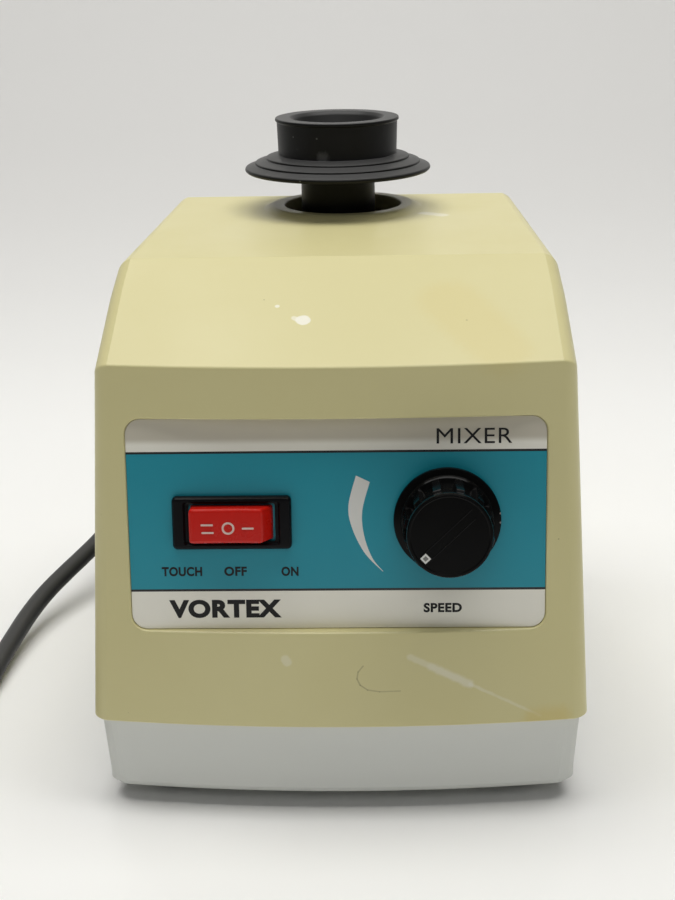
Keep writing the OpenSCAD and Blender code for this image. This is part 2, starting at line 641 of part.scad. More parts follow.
module microswitch_bracket() color(steel) at_axis() difference() {
    union() {
        translate([14, 3.2, floor_z]) cube([16, 1.5, sw_z + 8 - floor_z]);
        translate([14, 3.2, floor_z]) cube([11, 13, 1.5]);
        translate([lever_x - 1.7, -4.6, lever_z - 1.7]) cube([3.4, 1.2, 3.4]);
        translate([lever_x - 1.7, -4.6, sw_z - 1.4]) cube([3.4, 1.2, lever_z - sw_z]);
        translate([lever_x - 1.7, -4.6, sw_z - 1.4]) cube([3.4, 8, 1.2]);
        translate([lever_x - 1.7, 3.2, lever_z - 5]) cube([3.4, 1.5, 6.7]);
        translate([lever_x, 0, lever_z]) rotate([90, 0, 0]) cylinder(r = 0.45 - run, h = 8.2, center = true);
    }
    for (x = sw_holes)
        translate([x, 4, sw_z + 3]) rotate([90, 0, 0]) cylinder(r = 1.2, h = 10, center = true);
    translate([19.5, 12, floor_z - 1]) cylinder(r = 1.6, h = 5);
}
module microswitch_screws() color(steel) {
    for (x = sw_holes) at_axis(sw_z + 3) translate([x, -3.2, 0]) rotate([-90, 0, 0]) screw(2, 1.2, 1.2, 9);
    bracket_screw_place() rotate([180, 0, 0]) screw(2.6, 1.6, 1.2, 5);
}

// ---- Speed control board ----
module circuit_board() color([0.16, 0.36, 0.20]) translate([0, board_y, board_z]) difference() {
    linear_extrude(1.6) square([board_w, board_d], center = true);
    corners(board_w / 2 - 4, board_d / 2 - 4) translate([0, 0, -1]) cylinder(r = 1.6, h = 4);
}
module on_board(x, y) translate([x, board_y + y, board_z + 1.6]) children();
module board_parts() color([0.75, 0.45, 0.12]) {
    on_board(-14, -6) linear_extrude(13) round_rect(18, 8, 1);
    on_board(-14, 10) ring(7, 3.2, 7);
    on_board(18, -10) linear_extrude(9) square([15, 8], center = true);
    on_board(6, -5) cylinder(r = 3, h = 10);
    on_board(8, 7.2) linear_extrude(15) square([10, 4.4], center = true);
}
module heat_sink() color([0.70, 0.70, 0.72]) on_board(8, 9.4) {
    translate([-13, 0, 0.2]) cube([26, 2, 20]);
    for (k = [0:4]) translate([-13 + k * 6.1, 1.9, 0.2]) cube([1.6, 7, 20]);
}
module board_screws() color(steel) board_places()
    translate([0, 0, board_z + 1.6]) rotate([180, 0, 0]) screw(2.6, 1.6, 1.2, 8);

// ---- Cord and plug ----
relief_neck_r = 5;
relief_l = 24;                                 // tapered length behind the cover
module at_relief() translate([relief_x, cover_d, relief_z]) rotate([-90, 0, 0]) children();
module strain_relief() color(black) at_relief() difference() {
    union() {
        translate([0, 0, -6.6]) cylinder(r = relief_neck_r + 1.5, h = 3);
        translate([0, 0, -5]) cylinder(r = relief_neck_r, h = 5.5);
        translate([0, 0, 0.2]) cylinder(r = relief_neck_r + 1.8, h = 2.6);
        translate([0, 0, 2.6])
            cylinder(r1 = relief_neck_r + 0.6, r2 = cord_dia / 2 + 0.8, h = relief_l - 2.6);
    }
    for (k = [0:4]) translate([0, 0, 6 + k * 3.4]) ring(12, cord_dia / 2 + 0.9, 1.3);
}

// The free stretch, from the strain relief to the coil, and the tail from the coil to the plug
relief_end = [relief_x, cover_d + relief_l, relief_z];
cord_route = [relief_end, [-28, 195, 34], [-31, 208, 33.2], [-40, 219, 32], [-53, 224, 30.4],
    [-66, 221, 28.6], [-75.5, 211, 26.4], [-80, 197, 24.2], [-82.3, 182, 21.8], [-85, 167, 19.4],
    [-88.8, 153, 16.8], [-93.6, 141.5, 14.4], [-98.6, 131, 12], [-102.8, 120.5, 9.9], [-106, 109, 7.8],
    [-108, 97, 6.1],
    [-109.4, 84, 4.8], [-110.4, 70, 3.8], [-112, 57, 3.2], [-114.6, 45, 3.1]];
coil_mid = [-157, 30];
coil_side = 1.5 * cord_dia;                    // half the width of the wound turns
coil_top = 17;
tail_route = [[-191, 54, 13.6], [-190.8, 66, 10.6], [-189.5, 78, 8.6], [-188.3, 88, 9], [-188, 96, 10]];
function unit(v) = v / norm(v);
function heading(route, i) = let (n = len(route) - 1)
    unit(i == 0 ? [0, route[1][1] - route[0][1], 0] :
        i == n ? route[n] - route[n - 1] : route[i + 1] - route[i - 1]);
module tube(route, r, sides = 10) polyhedron(
    points = [for (i = [0:len(route) - 1])
        let (t = heading(route, i), s = unit(cross(t, [0, 0, 1])), u = cross(s, t))
        for (k = [0:sides - 1]) route[i] + r * (cos(k * 360 / sides) * s + sin(k * 360 / sides) * u)],
    faces = concat([[for (k = [sides - 1:-1:0]) k]],
        [for (i = [0:len(route) - 2], k = [0:sides - 1]) let (m = (k + 1) % sides)
            [i * sides + m, (i + 1) * sides + m, (i + 1) * sides + k, i * sides + k]],
        [[for (k = [0:sides - 1]) (len(route) - 1) * sides + k]]));
module cord() color(black) tube(cord_route, cord_dia / 2);
module cord_tail() color(black) tube(tail_route, cord_dia / 2);
module cord_coil() color(black) translate([coil_mid[0], coil_mid[1], 0]) rotate_extrude()
    translate([coil_dia / 2, coil_top / 2]) round_rect(2 * coil_side, coil_top - 0.1, 3);

// The plug lies on its flat side: two blades and a round earth pin, pointing away from its cord
plug_at = tail_route[len(tail_route) - 1];
plug_relief = 14;
plug_l = 30;
blade_gap = 12.7;
blade_z = 3.4;                                 // the blades sit this far below the cord
earth_rise = 11.9;
module at_plug() translate(plug_at) rotate([-90, 0, 0]) children();
module plug_body() color(black) at_plug() difference() {
    union() {
        cylinder(r1 = cord_dia / 2 + 0.8, r2 = 6, h = plug_relief);
        hull() {
            translate([0, 0, plug_relief - 1]) linear_extrude(1) round_rect(15, 15, 5);
            translate([0, -2.2, plug_relief + 12]) linear_extrude(plug_l - 12) round_rect(25, 24, 6);
        }
    }
    for (k = [0:2]) translate([0, 0, 3 + k * 3.4]) ring(12, cord_dia / 2 + 1.2, 1.2);
    blades() cube([1.5, 6.35, 3.2], center = true);
    translate([0, blade_z - earth_rise, plug_relief + plug_l - 3]) cylinder(r = 1.8, h = 4);
}
module blades() for (s = [-1, 1])
    translate([s * blade_gap / 2, blade_z, plug_relief + plug_l - 0.4]) children();
module plug_pins() color(brass) at_plug() {
    blades() translate([0, 0, 8.15]) cube([1.5, 6.35, 19.5], center = true);
    translate([0, blade_z - earth_rise, plug_relief + plug_l]) {
        translate([0, 0, -3]) cylinder(r = 1.8, h = 4);
        cylinder(r = 2.4, h = 18);
        translate([0, 0, 18]) cylinder(r1 = 2.4, r2 = 1.4, h = 2);
    }
}

place() base_casting();
place() cover();
place() label_plate();
for (i = [1:4]) place() foot(i);
place() foot_screws();
place() cover_screws();
place() switch_body();
place() switch_rocker();
place() switch_terminals();
place() speed_knob();
place() knob_marker();
place() pot_body();
place() pot_shaft();
place() pot_washer();
place() pot_nut();
place() cup_head();
place() head_hub();
place() bearing_outer();
place() bearing_balls();
place() bearing_inner();
place() circlip();
place() eccentric();
place() counterweight();
place() set_screw();
place() tether_spring();
place() motor_shaft();
place() rotor_core();
place() fan();
place() stator_core();
place() winding(-1);  // winding_front
place() winding(1);  // winding_rear
place() lower_bracket();
place() upper_bracket();
place() lower_bush();
place() upper_bush();
place() motor_bolts();
place() motor_grommets();
place() motor_screws();
place() plunger_guide();
place() thrust_plunger();
place() thrust_ball();
place() touch_spring();
place() microswitch_body();
place() microswitch_lever();
place() microswitch_button();
place() microswitch_bracket();
place() microswitch_screws();
place() circuit_board();
place() board_parts();
place() heat_sink();
place() board_screws();
place() strain_relief();
place() cord();
place() cord_coil();
place() cord_tail();
place() plug_body();
place() plug_pins();
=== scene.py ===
import json
import math

import bmesh
import bpy
from mathutils import Matrix, Vector


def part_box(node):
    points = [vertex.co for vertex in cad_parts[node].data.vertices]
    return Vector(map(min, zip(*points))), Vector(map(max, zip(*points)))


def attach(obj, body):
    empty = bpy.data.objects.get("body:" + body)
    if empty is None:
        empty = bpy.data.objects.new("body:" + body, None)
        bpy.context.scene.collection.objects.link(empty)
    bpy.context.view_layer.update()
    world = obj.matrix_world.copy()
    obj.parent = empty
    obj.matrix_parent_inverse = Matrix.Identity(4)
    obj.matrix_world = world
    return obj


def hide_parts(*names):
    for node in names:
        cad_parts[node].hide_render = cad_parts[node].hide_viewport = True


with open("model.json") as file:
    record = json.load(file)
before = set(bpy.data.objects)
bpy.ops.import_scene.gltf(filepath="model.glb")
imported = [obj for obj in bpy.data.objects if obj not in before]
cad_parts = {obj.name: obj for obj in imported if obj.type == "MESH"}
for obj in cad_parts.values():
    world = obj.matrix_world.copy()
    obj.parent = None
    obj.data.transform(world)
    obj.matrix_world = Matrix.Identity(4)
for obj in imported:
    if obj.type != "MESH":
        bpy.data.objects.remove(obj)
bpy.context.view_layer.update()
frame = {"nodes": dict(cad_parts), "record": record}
scene = bpy.context.scene
scene.view_settings.view_transform = "Standard"
print("stage: frame loaded")

milli = 0.001
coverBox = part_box("cover")
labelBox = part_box("label_plate")
midY = -coverBox[0].y / milli                    # the cover is drawn with y = 0 at its front foot
seamZ = coverBox[0].z / milli
collarRise = 1.5
topZ = coverBox[1].z / milli - collarRise
halfWidth = coverBox[1].x / milli
depth = (coverBox[1].y - coverBox[0].y) / milli
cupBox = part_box("cup_head")
axisX = (cupBox[0].x + cupBox[1].x) / 2 / milli
axisY = (cupBox[0].y + cupBox[1].y) / 2 / milli + midY
rimZ = cupBox[1].z / milli


# camera
cameraValues = {"lens": 81.13, "pitch": 19.21, "yaw": 1.86, "roll": 1.11,
                "place": (0.0123, -0.42419, 0.22372)}


def makeCamera(values):
    pitch, yaw, roll = (math.radians(values[k]) for k in ("pitch", "yaw", "roll"))
    forward = Vector((-math.sin(yaw) * math.cos(pitch), math.cos(yaw) * math.cos(pitch), -math.sin(pitch)))
    right = Vector((math.cos(yaw), math.sin(yaw), 0))
    down = forward.cross(right)
    turnedRight = math.cos(roll) * right + math.sin(roll) * down
    turnedDown = -math.sin(roll) * right + math.cos(roll) * down
    data = bpy.data.cameras.new("camera")
    data.sensor_fit = "HORIZONTAL"
    data.sensor_width = 36
    data.lens = values["lens"]
    data.clip_start = 0.01
    camera = bpy.data.objects.new("camera", data)
    matrix = Matrix.Identity(4)
    for column, axis in enumerate((turnedRight, -turnedDown, -forward)):
        for row in range(3):
            matrix[row][column] = axis[row]
    matrix.translation = Vector(values["place"])
    camera.matrix_world = matrix
    scene.collection.objects.link(camera)
    scene.camera = camera


makeCamera(cameraValues)


# shader helpers
def addNode(tree, kind, inputs=None, **settings):
    made = tree.nodes.new(kind)
    for name, value in settings.items():             # settings first: they can change the sockets
        setattr(made, name, value)
    for name, value in (inputs or {}).items():
        if isinstance(value, bpy.types.NodeSocket):
            tree.links.new(value, made.inputs[name])
        else:
            made.inputs[name].default_value = value
    return made


def newGroup(name, inputs, outputs):
    tree = bpy.data.node_groups.new(name, "ShaderNodeTree")
    for label, kind, value in inputs:
        socket = tree.interface.new_socket(label, in_out="INPUT", socket_type="NodeSocket" + kind)
        socket.default_value = value
    for label, kind in outputs:
        tree.interface.new_socket(label, in_out="OUTPUT", socket_type="NodeSocket" + kind)
    return tree, tree.nodes.new("NodeGroupInput"), tree.nodes.new("NodeGroupOutput")


def useGroup(tree, group, inputs):
    return addNode(tree, "ShaderNodeGroup", inputs, node_tree=group)


def math2(tree, operation, a, b=0.0, clamp=False):
    return addNode(tree, "ShaderNodeMath", {0: a, 1: b}, operation=operation, use_clamp=clamp).outputs[0]


def opaque(colour):                              # a colour without alpha gets one; a socket stays as it is
    return colour if isinstance(colour, bpy.types.NodeSocket) or len(colour) == 4 else (*colour, 1)


def mixColour(tree, factor, a, b):               # sockets 0, 6 and 7 are the factor and the two colours
    made = addNode(tree, "ShaderNodeMix", {0: factor, 6: opaque(a), 7: opaque(b)}, data_type="RGBA")
    return made.outputs[2]


def mapRange(tree, value, low, high, lowTo=0.0, highTo=1.0, smooth=False):
    inputs = {"Value": value, "From Min": low, "From Max": high, "To Min": lowTo, "To Max": highTo}
    kind = "SMOOTHSTEP" if smooth else "LINEAR"
    return addNode(tree, "ShaderNodeMapRange", inputs, interpolation_type=kind).outputs[0]


def vectorMath(tree, operation, a, b):
    return addNode(tree, "ShaderNodeVectorMath", {0: a, 1: b}, operation=operation)


def noiseFac(tree, vector, scale, detail, rough=0.5):
    inputs = {"Vector": vector, "Scale": scale, "Detail": detail, "Roughness": rough}
    return addNode(tree, "ShaderNodeTexNoise", inputs).outputs["Fac"]


def makeMottleGroup():                           # slow change of colour and shine over a surface
    white = (1, 1, 1, 1)
    tree, start, end = newGroup("mottle", [("Vector", "Vector", (0, 0, 0)), ("Colour", "Color", white),
                                           ("Second", "Color", white), ("Scale", "Float", 20.0),
                                           ("Amount", "Float", 0.5)],
                                [("Colour", "Color"), ("Mask", "Float")])
    given = start.outputs
    mask = mapRange(tree, noiseFac(tree, given["Vector"], given["Scale"], 5.0, 0.6), 0.35, 0.7)
    share = math2(tree, "MULTIPLY", mask, given["Amount"])
    tree.links.new(mixColour(tree, share, given["Colour"], given["Second"]), end.inputs["Colour"])
    tree.links.new(mask, end.inputs["Mask"])
    return tree


def makeGrainGroup():                            # fine moulded grain as a normal
    tree, start, end = newGroup("grain", [("Vector", "Vector", (0, 0, 0)), ("Scale", "Float", 900.0),
                                          ("Strength", "Float", 0.1), ("Height", "Float", 0.00005)],
                                [("Normal", "Vector")])
    given = start.outputs
    height = noiseFac(tree, given["Vector"], given["Scale"], 3.0)
    bump = addNode(tree, "ShaderNodeBump", {"Strength": given["Strength"], "Distance": given["Height"],
                                            "Height": height})
    tree.links.new(bump.outputs[0], end.inputs["Normal"])
    return tree


def makeSpeckGroup():                            # scattered specks of dust
    tree, start, end = newGroup("specks", [("Vector", "Vector", (0, 0, 0)), ("Scale", "Float", 300.0),
                                           ("Size", "Float", 0.08), ("Share", "Float", 0.2)],
                                [("Mask", "Float")])
    given = start.outputs
    cells = addNode(tree, "ShaderNodeTexVoronoi", {"Vector": given["Vector"], "Scale": given["Scale"]})
    near = math2(tree, "LESS_THAN", cells.outputs["Distance"], given["Size"])
    pick = addNode(tree, "ShaderNodeSeparateColor", {"Color": cells.outputs["Color"]})
    chosen = math2(tree, "LESS_THAN", pick.outputs[0], given["Share"])
    tree.links.new(math2(tree, "MULTIPLY", near, chosen), end.inputs["Mask"])
    return tree


def makeStrokeGroup():                           # a stroke between two points; equal points make a spot
    tree, start, end = newGroup("stroke", [("Vector", "Vector", (0, 0, 0)), ("Start", "Vector", (0, 0, 0)),
                                           ("End", "Vector", (0, 0, 0)), ("Width", "Float", 0.001),
                                           ("Soft", "Float", 0.0005), ("Ragged", "Float", 0.0)],
                                [("Mask", "Float")])
    given = start.outputs
    along = vectorMath(tree, "SUBTRACT", given["End"], given["Start"]).outputs[0]
    offset = vectorMath(tree, "SUBTRACT", given["Vector"], given["Start"]).outputs[0]
    reach = vectorMath(tree, "DOT_PRODUCT", offset, along).outputs["Value"]
    square = vectorMath(tree, "DOT_PRODUCT", along, along).outputs["Value"]
    share = math2(tree, "DIVIDE", reach, math2(tree, "MAXIMUM", square, 1e-9), clamp=True)
    foot = addNode(tree, "ShaderNodeVectorMath", {0: along, "Scale": share}, operation="SCALE").outputs[0]
    gap = vectorMath(tree, "DISTANCE", offset, foot).outputs["Value"]
    noise = math2(tree, "SUBTRACT", noiseFac(tree, given["Vector"], 700.0, 3.0), 0.5)
    ragged = math2(tree, "ADD", gap, math2(tree, "MULTIPLY", noise, given["Ragged"]))
    outer = math2(tree, "ADD", given["Width"], given["Soft"])
    mask = mapRange(tree, ragged, given["Width"], outer, 1.0, 0.0, smooth=True)
    tree.links.new(mask, end.inputs["Mask"])
    return tree


mottleGroup = makeMottleGroup()
grainGroup = makeGrainGroup()
speckGroup = makeSpeckGroup()
strokeGroup = makeStrokeGroup()


def newMaterial(name):
    material = bpy.data.materials.new(name)
    material.use_nodes = True
    tree = material.node_tree
    shader = tree.nodes["Principled BSDF"]
    place = tree.nodes.new("ShaderNodeTexCoord").outputs["Object"]
    return material, tree, shader, place


def varyShine(tree, shader, mask, rough):        # a little shinier and a little duller with the mottle
    shine = mapRange(tree, mask, 0.0, 1.0, rough * 0.85, min(1.0, rough * 1.2))
    tree.links.new(shine, shader.inputs["Roughness"])


def addGrain(tree, shader, place, inputs):
    normal = useGroup(tree, grainGroup, {"Vector": place, **inputs}).outputs["Normal"]
    tree.links.new(normal, shader.inputs["Normal"])


def plainMaterial(name, colour, rough, second=None, metallic=0.0, grain=0.1, scale=900.0, mottle=30.0,
                  amount=0.5, specks=0.0, level=0.5):
    material, tree, shader, place = newMaterial(name)
    second = second or tuple(c * 0.82 for c in colour)
    patches = useGroup(tree, mottleGroup, {"Vector": place, "Colour": (*colour, 1), "Second": (*second, 1),
                                           "Scale": mottle, "Amount": amount})
    base = patches.outputs["Colour"]
    if specks:
        dust = useGroup(tree, speckGroup, {"Vector": place, "Share": specks}).outputs["Mask"]
        base = mixColour(tree, math2(tree, "MULTIPLY", dust, 0.5), base, (0.55, 0.54, 0.5))
    tree.links.new(base, shader.inputs["Base Color"])
    varyShine(tree, shader, patches.outputs["Mask"], rough)
    shader.inputs["Metallic"].default_value = metallic
    shader.inputs["Specular IOR Level"].default_value = level
    if grain:
        addGrain(tree, shader, place, {"Scale": scale, "Strength": grain})
    return material


# shape helpers
def addPiece(name, verts, faces, body, slotName, material, replaced=(), angle=30.0, matrix=None,
             weighted=True):
    mesh = bpy.data.meshes.new(name)
    mesh.from_pydata([tuple(c * milli for c in v) for v in verts], [], faces)
    cleaner = bmesh.new()
    cleaner.from_mesh(mesh)
    bmesh.ops.remove_doubles(cleaner, verts=cleaner.verts, dist=1e-6)
    bmesh.ops.recalc_face_normals(cleaner, faces=cleaner.faces)
    cleaner.to_mesh(mesh)
    cleaner.free()
    mesh.shade_smooth()
    mesh.set_sharp_from_angle(angle=math.radians(angle))
    piece = bpy.data.objects.new(name, mesh)
    scene.collection.objects.link(piece)
    mesh.materials.append(material)
    if weighted:
        modifier = piece.modifiers.new("weighted", "WEIGHTED_NORMAL")
        modifier.keep_sharp = True
    if matrix is not None:
        piece.matrix_world = matrix
    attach(piece, body)
    if replaced:
        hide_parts(*replaced)
    return piece


def loftFaces(rows, count):                      # quads between closed rows of as many points each
    faces = []
    for row in range(rows - 1):
        for k in range(count):
            a, b = row * count + k, row * count + (k + 1) % count
            faces.append((a, b, b + count, a + count))
    return faces


def roundRect(width, height, radius, steps=6):
    radius = max(radius, 0.01)
    points = []
    for cx, cy, start in ((1, 1, 0), (-1, 1, 90), (-1, -1, 180), (1, -1, 270)):
        for k in range(steps + 1):
            a = math.radians(start + 90 * k / steps)
            points.append((cx * (width / 2 - radius) + radius * math.cos(a),
                           cy * (height / 2 - radius) + radius * math.sin(a)))
    return points


def loftLoops(loops):                            # a closed solid through the loops, capped at both ends
    count = len(loops[0])
    verts = [v for loop in loops for v in loop]
    faces = loftFaces(len(loops), count)
    faces.append(tuple(reversed(range(count))))
    faces.append(tuple(range((len(loops) - 1) * count, len(loops) * count)))
    return verts, faces


def joinParts(*parts):
    verts, faces = [], []
    for partVerts, partFaces in parts:
        shift = len(verts)
        verts += partVerts
        faces += [tuple(i + shift for i in face) for face in partFaces]
    return verts, faces


def roundCorners(points, radius, steps=3, closed=False):
    count, made = len(points), []
    for i, point in enumerate(points):
        if not closed and i in (0, count - 1):
            made.append(tuple(point))
            continue
        here, before, after = Vector(point), Vector(points[i - 1]), Vector(points[(i + 1) % count])
        toBefore, toAfter = before - here, after - here
        reach = min(radius, toBefore.length * 0.45, toAfter.length * 0.45)
        first, last = here + toBefore.normalized() * reach, here + toAfter.normalized() * reach
        for k in range(steps + 1):
            s = k / steps
            made.append(tuple((1 - s) ** 2 * first + 2 * s * (1 - s) * here + s * s * last))
    return made


def lathe(profile, centre, segments=96):         # turns (radius, z) points about a vertical axis
    verts, faces, count = [], [], len(profile)
    for k in range(segments):
        a = 2 * math.pi * k / segments
        verts += [(centre[0] + r * math.cos(a), centre[1] + r * math.sin(a), z) for r, z in profile]
    for k in range(segments):
        for i in range(count - 1):
            a, b = k * count + i, ((k + 1) % segments) * count + i
            faces.append((a, b, b + 1, a + 1))
    return verts, faces


def clampShare(x):
    return min(1.0, max(0.0, x))


def smoothStep(x):
    x = clampShare(x)
    return x * x * (3 - 2 * x)


# panel frame: x to the right, y up along the face, z straight out of it
lean = math.radians(8.0)                         # the front face leans back
labelThick = 0.5
labelCentre = (labelBox[0] + labelBox[1]) / 2
panelOut = Vector((0, -math.cos(lean), math.sin(lean)))
panelUp = Vector((0, math.sin(lean), math.cos(lean)))
panelOrigin = labelCentre - panelOut * labelThick / 2 * milli
panelMatrix = Matrix(((1, 0, 0, panelOrigin.x),
                      (0, panelUp.y, panelOut.y, panelOrigin.y),
                      (0, panelUp.z, panelOut.z, panelOrigin.z),
                      (0, 0, 0, 1)))
labelWidth = (labelBox[1].x - labelBox[0].x) / milli
labelHeight = ((labelBox[1].z - labelBox[0].z) / milli - labelThick * math.sin(lean)) / math.cos(lean)


def panelAt(u, v, w=0.0):
    return panelMatrix @ Matrix.Translation(Vector((u, v, w)) * milli)


def onPanel(box):                                # centre of a CAD node in the panel frame, in mm
    return panelMatrix.inverted() @ ((box[0] + box[1]) / 2) / milli


# cover
coverValues = {"sideDraft": 2.5, "rearTaper": 5.5, "taperStart": 45.0, "taperRun": 110.0, "rearDraft": 1.5,
               "slopeRise": 18.8, "slopeRun": 42.8, "bowRadius": 427.0, "sideRadius": 5.0, "rearRadius": 6.0,
               "edgeRound": 0.9, "crease": 14.0, "hole": 36.5, "collarOuter": 25.75, "collarInner": 21.4,
               "gap": 0.15, "labelRadius": 4.0, "labelEdge": 0.35, "wall": 3.0}
coverRows = {"front": 14, "slope": 10, "top": 26, "rear": 8, "across": 45, "side": 8, "edge": 4, "rearArc": 7}


def meetLines(n, c, m, k):                       # where the lines n.p = c and m.p = k cross
    s = n[0] * m[1] - n[1] * m[0]
    return ((c * m[1] - k * n[1]) / s, (n[0] * k - m[0] * c) / s)


def coverProfile(bulge, inset, values):          # side view of the cover: foot, ridge, edge, back, heel
    rise, run = values["slopeRise"], values["slopeRun"]
    ridgeZ = topZ - rise
    edgeY = (ridgeZ - seamZ) * math.tan(lean) + run
    a, rear = math.atan2(rise, run - bulge), math.radians(values["rearDraft"])
    lines = []
    for normal, through in (((-math.cos(lean), math.sin(lean)), (bulge, seamZ)),
                            ((-math.sin(a), math.cos(a)), (edgeY, topZ)), ((0.0, 1.0), (edgeY, topZ)),
                            ((math.cos(rear), math.sin(rear)), (depth, seamZ))):
        lines.append((normal, normal[0] * through[0] + normal[1] * through[1] - inset))
    ground = ((0.0, -1.0), -seamZ)
    foot = meetLines(*ground, *lines[0])
    corners = [meetLines(*lines[i], *lines[i + 1]) for i in range(3)]
    heel = meetLines(*lines[3], *ground)
    return [foot, *corners, heel]


def arcPoints(before, corner, after, radius, steps):    # rounds one corner of the side view
    here, one, two = Vector(corner), Vector(before) - Vector(corner), Vector(after) - Vector(corner)
    half = one.angle(two) / 2
    reach = radius / math.tan(half)
    centre = here + (one.normalized() + two.normalized()).normalized() * (radius / math.sin(half))
    first, last = here + one.normalized() * reach - centre, here + two.normalized() * reach - centre
    points = []
    for k in range(steps + 1):
        turned = first.lerp(last, k / steps)
        points.append(tuple(centre + turned.normalized() * radius))
    return points


def spread(a, b, count):                         # points between two ends, without the ends
    return [tuple(Vector(a).lerp(Vector(b), k / count)) for k in range(1, count)]


def buildCover(values):
    frontRows, slopeRows, topRows, rearRows, mainCount, arcCount, edgeSteps, rearSteps = coverRows.values()
    crease = math.radians(values["crease"])
    side, draft = values["sideRadius"], math.tan(math.radians(values["sideDraft"]))
    flat = halfWidth + side * (math.sin(crease) - 1)
    middle = flat - (labelCentre.z / milli - seamZ) * draft

    def bowAt(t):
        return (t * middle) ** 2 / (2 * values["bowRadius"])

    stations = []                                # share across, place from the side plane, inset, bow share
    for k in range(arcCount):                    # left side, from the side plane to the crease
        a = math.pi / 2 + (crease - math.pi / 2) * k / arcCount
        stations.append((-1, side * (math.sin(a) - 1), side * (math.cos(crease) - math.cos(a)), 1.0))
    for k in range(mainCount):
        t = -1 + 2 * k / (mainCount - 1)
        stations.append((t, None, 0.0, t))
    for k in range(arcCount):
        a = crease + (math.pi / 2 - crease) * (k + 1) / arcCount
        stations.append((1, side * (math.sin(a) - 1), side * (math.cos(crease) - math.cos(a)), 1.0))

    def bump(x, y):
        r = math.hypot(x, y - axisY)
        return collarRise * (1 - smoothStep((r - values["collarInner"]) /
                                            (values["collarOuter"] - values["collarInner"])))

    grid = []
    for t, local, inset, bowT in stations:
        foot, ridge, edge, back, heel = coverProfile(bowAt(bowT), inset, values)
        ridgeArc = arcPoints(foot, ridge, edge, values["edgeRound"], edgeSteps)
        edgeArc = arcPoints(ridge, edge, back, values["edgeRound"] * 1.5, edgeSteps)
        rearArc = arcPoints(edge, back, heel, max(1.2, values["rearRadius"] - inset), rearSteps)
        profile = [foot, *spread(foot, ridgeArc[0], frontRows), *ridgeArc,
                   *spread(ridgeArc[-1], edgeArc[0], slopeRows), *edgeArc,
                   *spread(edgeArc[-1], rearArc[0], topRows), *rearArc,
                   *spread(rearArc[-1], heel, rearRows), heel]
        column = []
        for y, z in profile:
            drop = (z - seamZ) * draft
            x = t * (flat - drop) if local is None else t * (halfWidth + local - drop)
            taper = clampShare((y - values["taperStart"]) / values["taperRun"])
            taper *= clampShare((z - seamZ) / (topZ - seamZ))
            x *= 1 - values["rearTaper"] * taper / halfWidth
            if z > topZ - 4.0 and y > 80:        # the flat top only
                z += bump(x, y)
            column.append((x, y, z))
        grid.append(column)
    frontEnd = frontRows                         # row numbers in the profile
    topStart = frontEnd + edgeSteps + slopeRows + edgeSteps
    topEnd = topStart + topRows
    count = len(grid[0])
    verts = [v for column in grid for v in column]
    faces = []
    firstMain, lastMain = arcCount, arcCount + mainCount - 1
    for i in range(len(grid) - 1):
        inMain = firstMain <= i < lastMain
        for j in range(count - 1):
            if inMain and (j < frontEnd or topStart <= j < topEnd):
                continue
            a = i * count + j
            faces.append((a, a + 1, a + 1 + count, a + count))
    for i in (0, len(grid) - 1):
        faces.append(tuple(i * count + j for j in range(count)))

    def index(i, j):
        return i * count + j

    def addRings(border, rings):                  # border of vertex numbers, then rings of points as long
        last = border
        for ring in rings:
            first = len(verts)
            verts.extend(ring)
            new = list(range(first, first + len(ring)))
            for k in range(len(new)):
                m = (k + 1) % len(new)
                faces.append((last[k], last[m], new[m], new[k]))
            last = new
        return last

    # front face, with the label's seat
    border = [index(i, frontEnd) for i in range(firstMain, lastMain)]
    border += [index(lastMain, j) for j in range(frontEnd, 0, -1)]
    border += [index(i, 0) for i in range(lastMain, firstMain, -1)]
    border += [index(firstMain, j) for j in range(0, frontEnd)]
    sides = [mainCount - 1, frontEnd, mainCount - 1, frontEnd]

    def surfacePoint(u, v, out=0.0):             # the bowed front face above the panel point (u, v)
        w = 0.0
        for _ in range(5):
            p = panelOrigin / milli + Vector((u, 0, 0)) + panelUp * v + panelOut * w
            span = flat - (p.z - seamZ) * draft
            front = (p.z - seamZ) * math.tan(lean) + bowAt(p.x / span)
            w += (p.y + midY - front) * math.cos(lean)
        p = panelOrigin / milli + Vector((u, 0, 0)) + panelUp * v + panelOut * (w + out)
        return p.x, p.y + midY, p.z

    def opening(grow):                           # the label's opening, with as many points as the border
        w, h = labelWidth + 2 * values["gap"] + 2 * grow, labelHeight + 2 * values["gap"] + 2 * grow
        r = values["labelRadius"] + values["gap"] + grow
        corners = [(-w / 2 + r, h / 2 - r, 90), (w / 2 - r, h / 2 - r, 0),
                   (w / 2 - r, -h / 2 + r, -90), (-w / 2 + r, -h / 2 + r, 180)]
        loop = []
        for s, n in enumerate(sides):
            c0, c1 = corners[s], corners[(s + 1) % 4]
            startAngle = (135, 45, -45, -135)[s]
            bend = 4
            points = []
            for k in range(bend + 1):
                a = math.radians(startAngle - 45 * k / bend)
                points.append((c0[0] + r * math.cos(a), c0[1] + r * math.sin(a)))
            tail = []
            for k in range(bend + 1):
                a = math.radians(startAngle - 45 - 45 * k / bend)
                tail.append((c1[0] + r * math.cos(a), c1[1] + r * math.sin(a)))
            inner = n - 2 * bend
            mid = [tuple(Vector(points[-1]).lerp(Vector(tail[0]), k / inner)) for k in range(1, inner)]
            loop += points + mid + tail[:-1]
        return loop

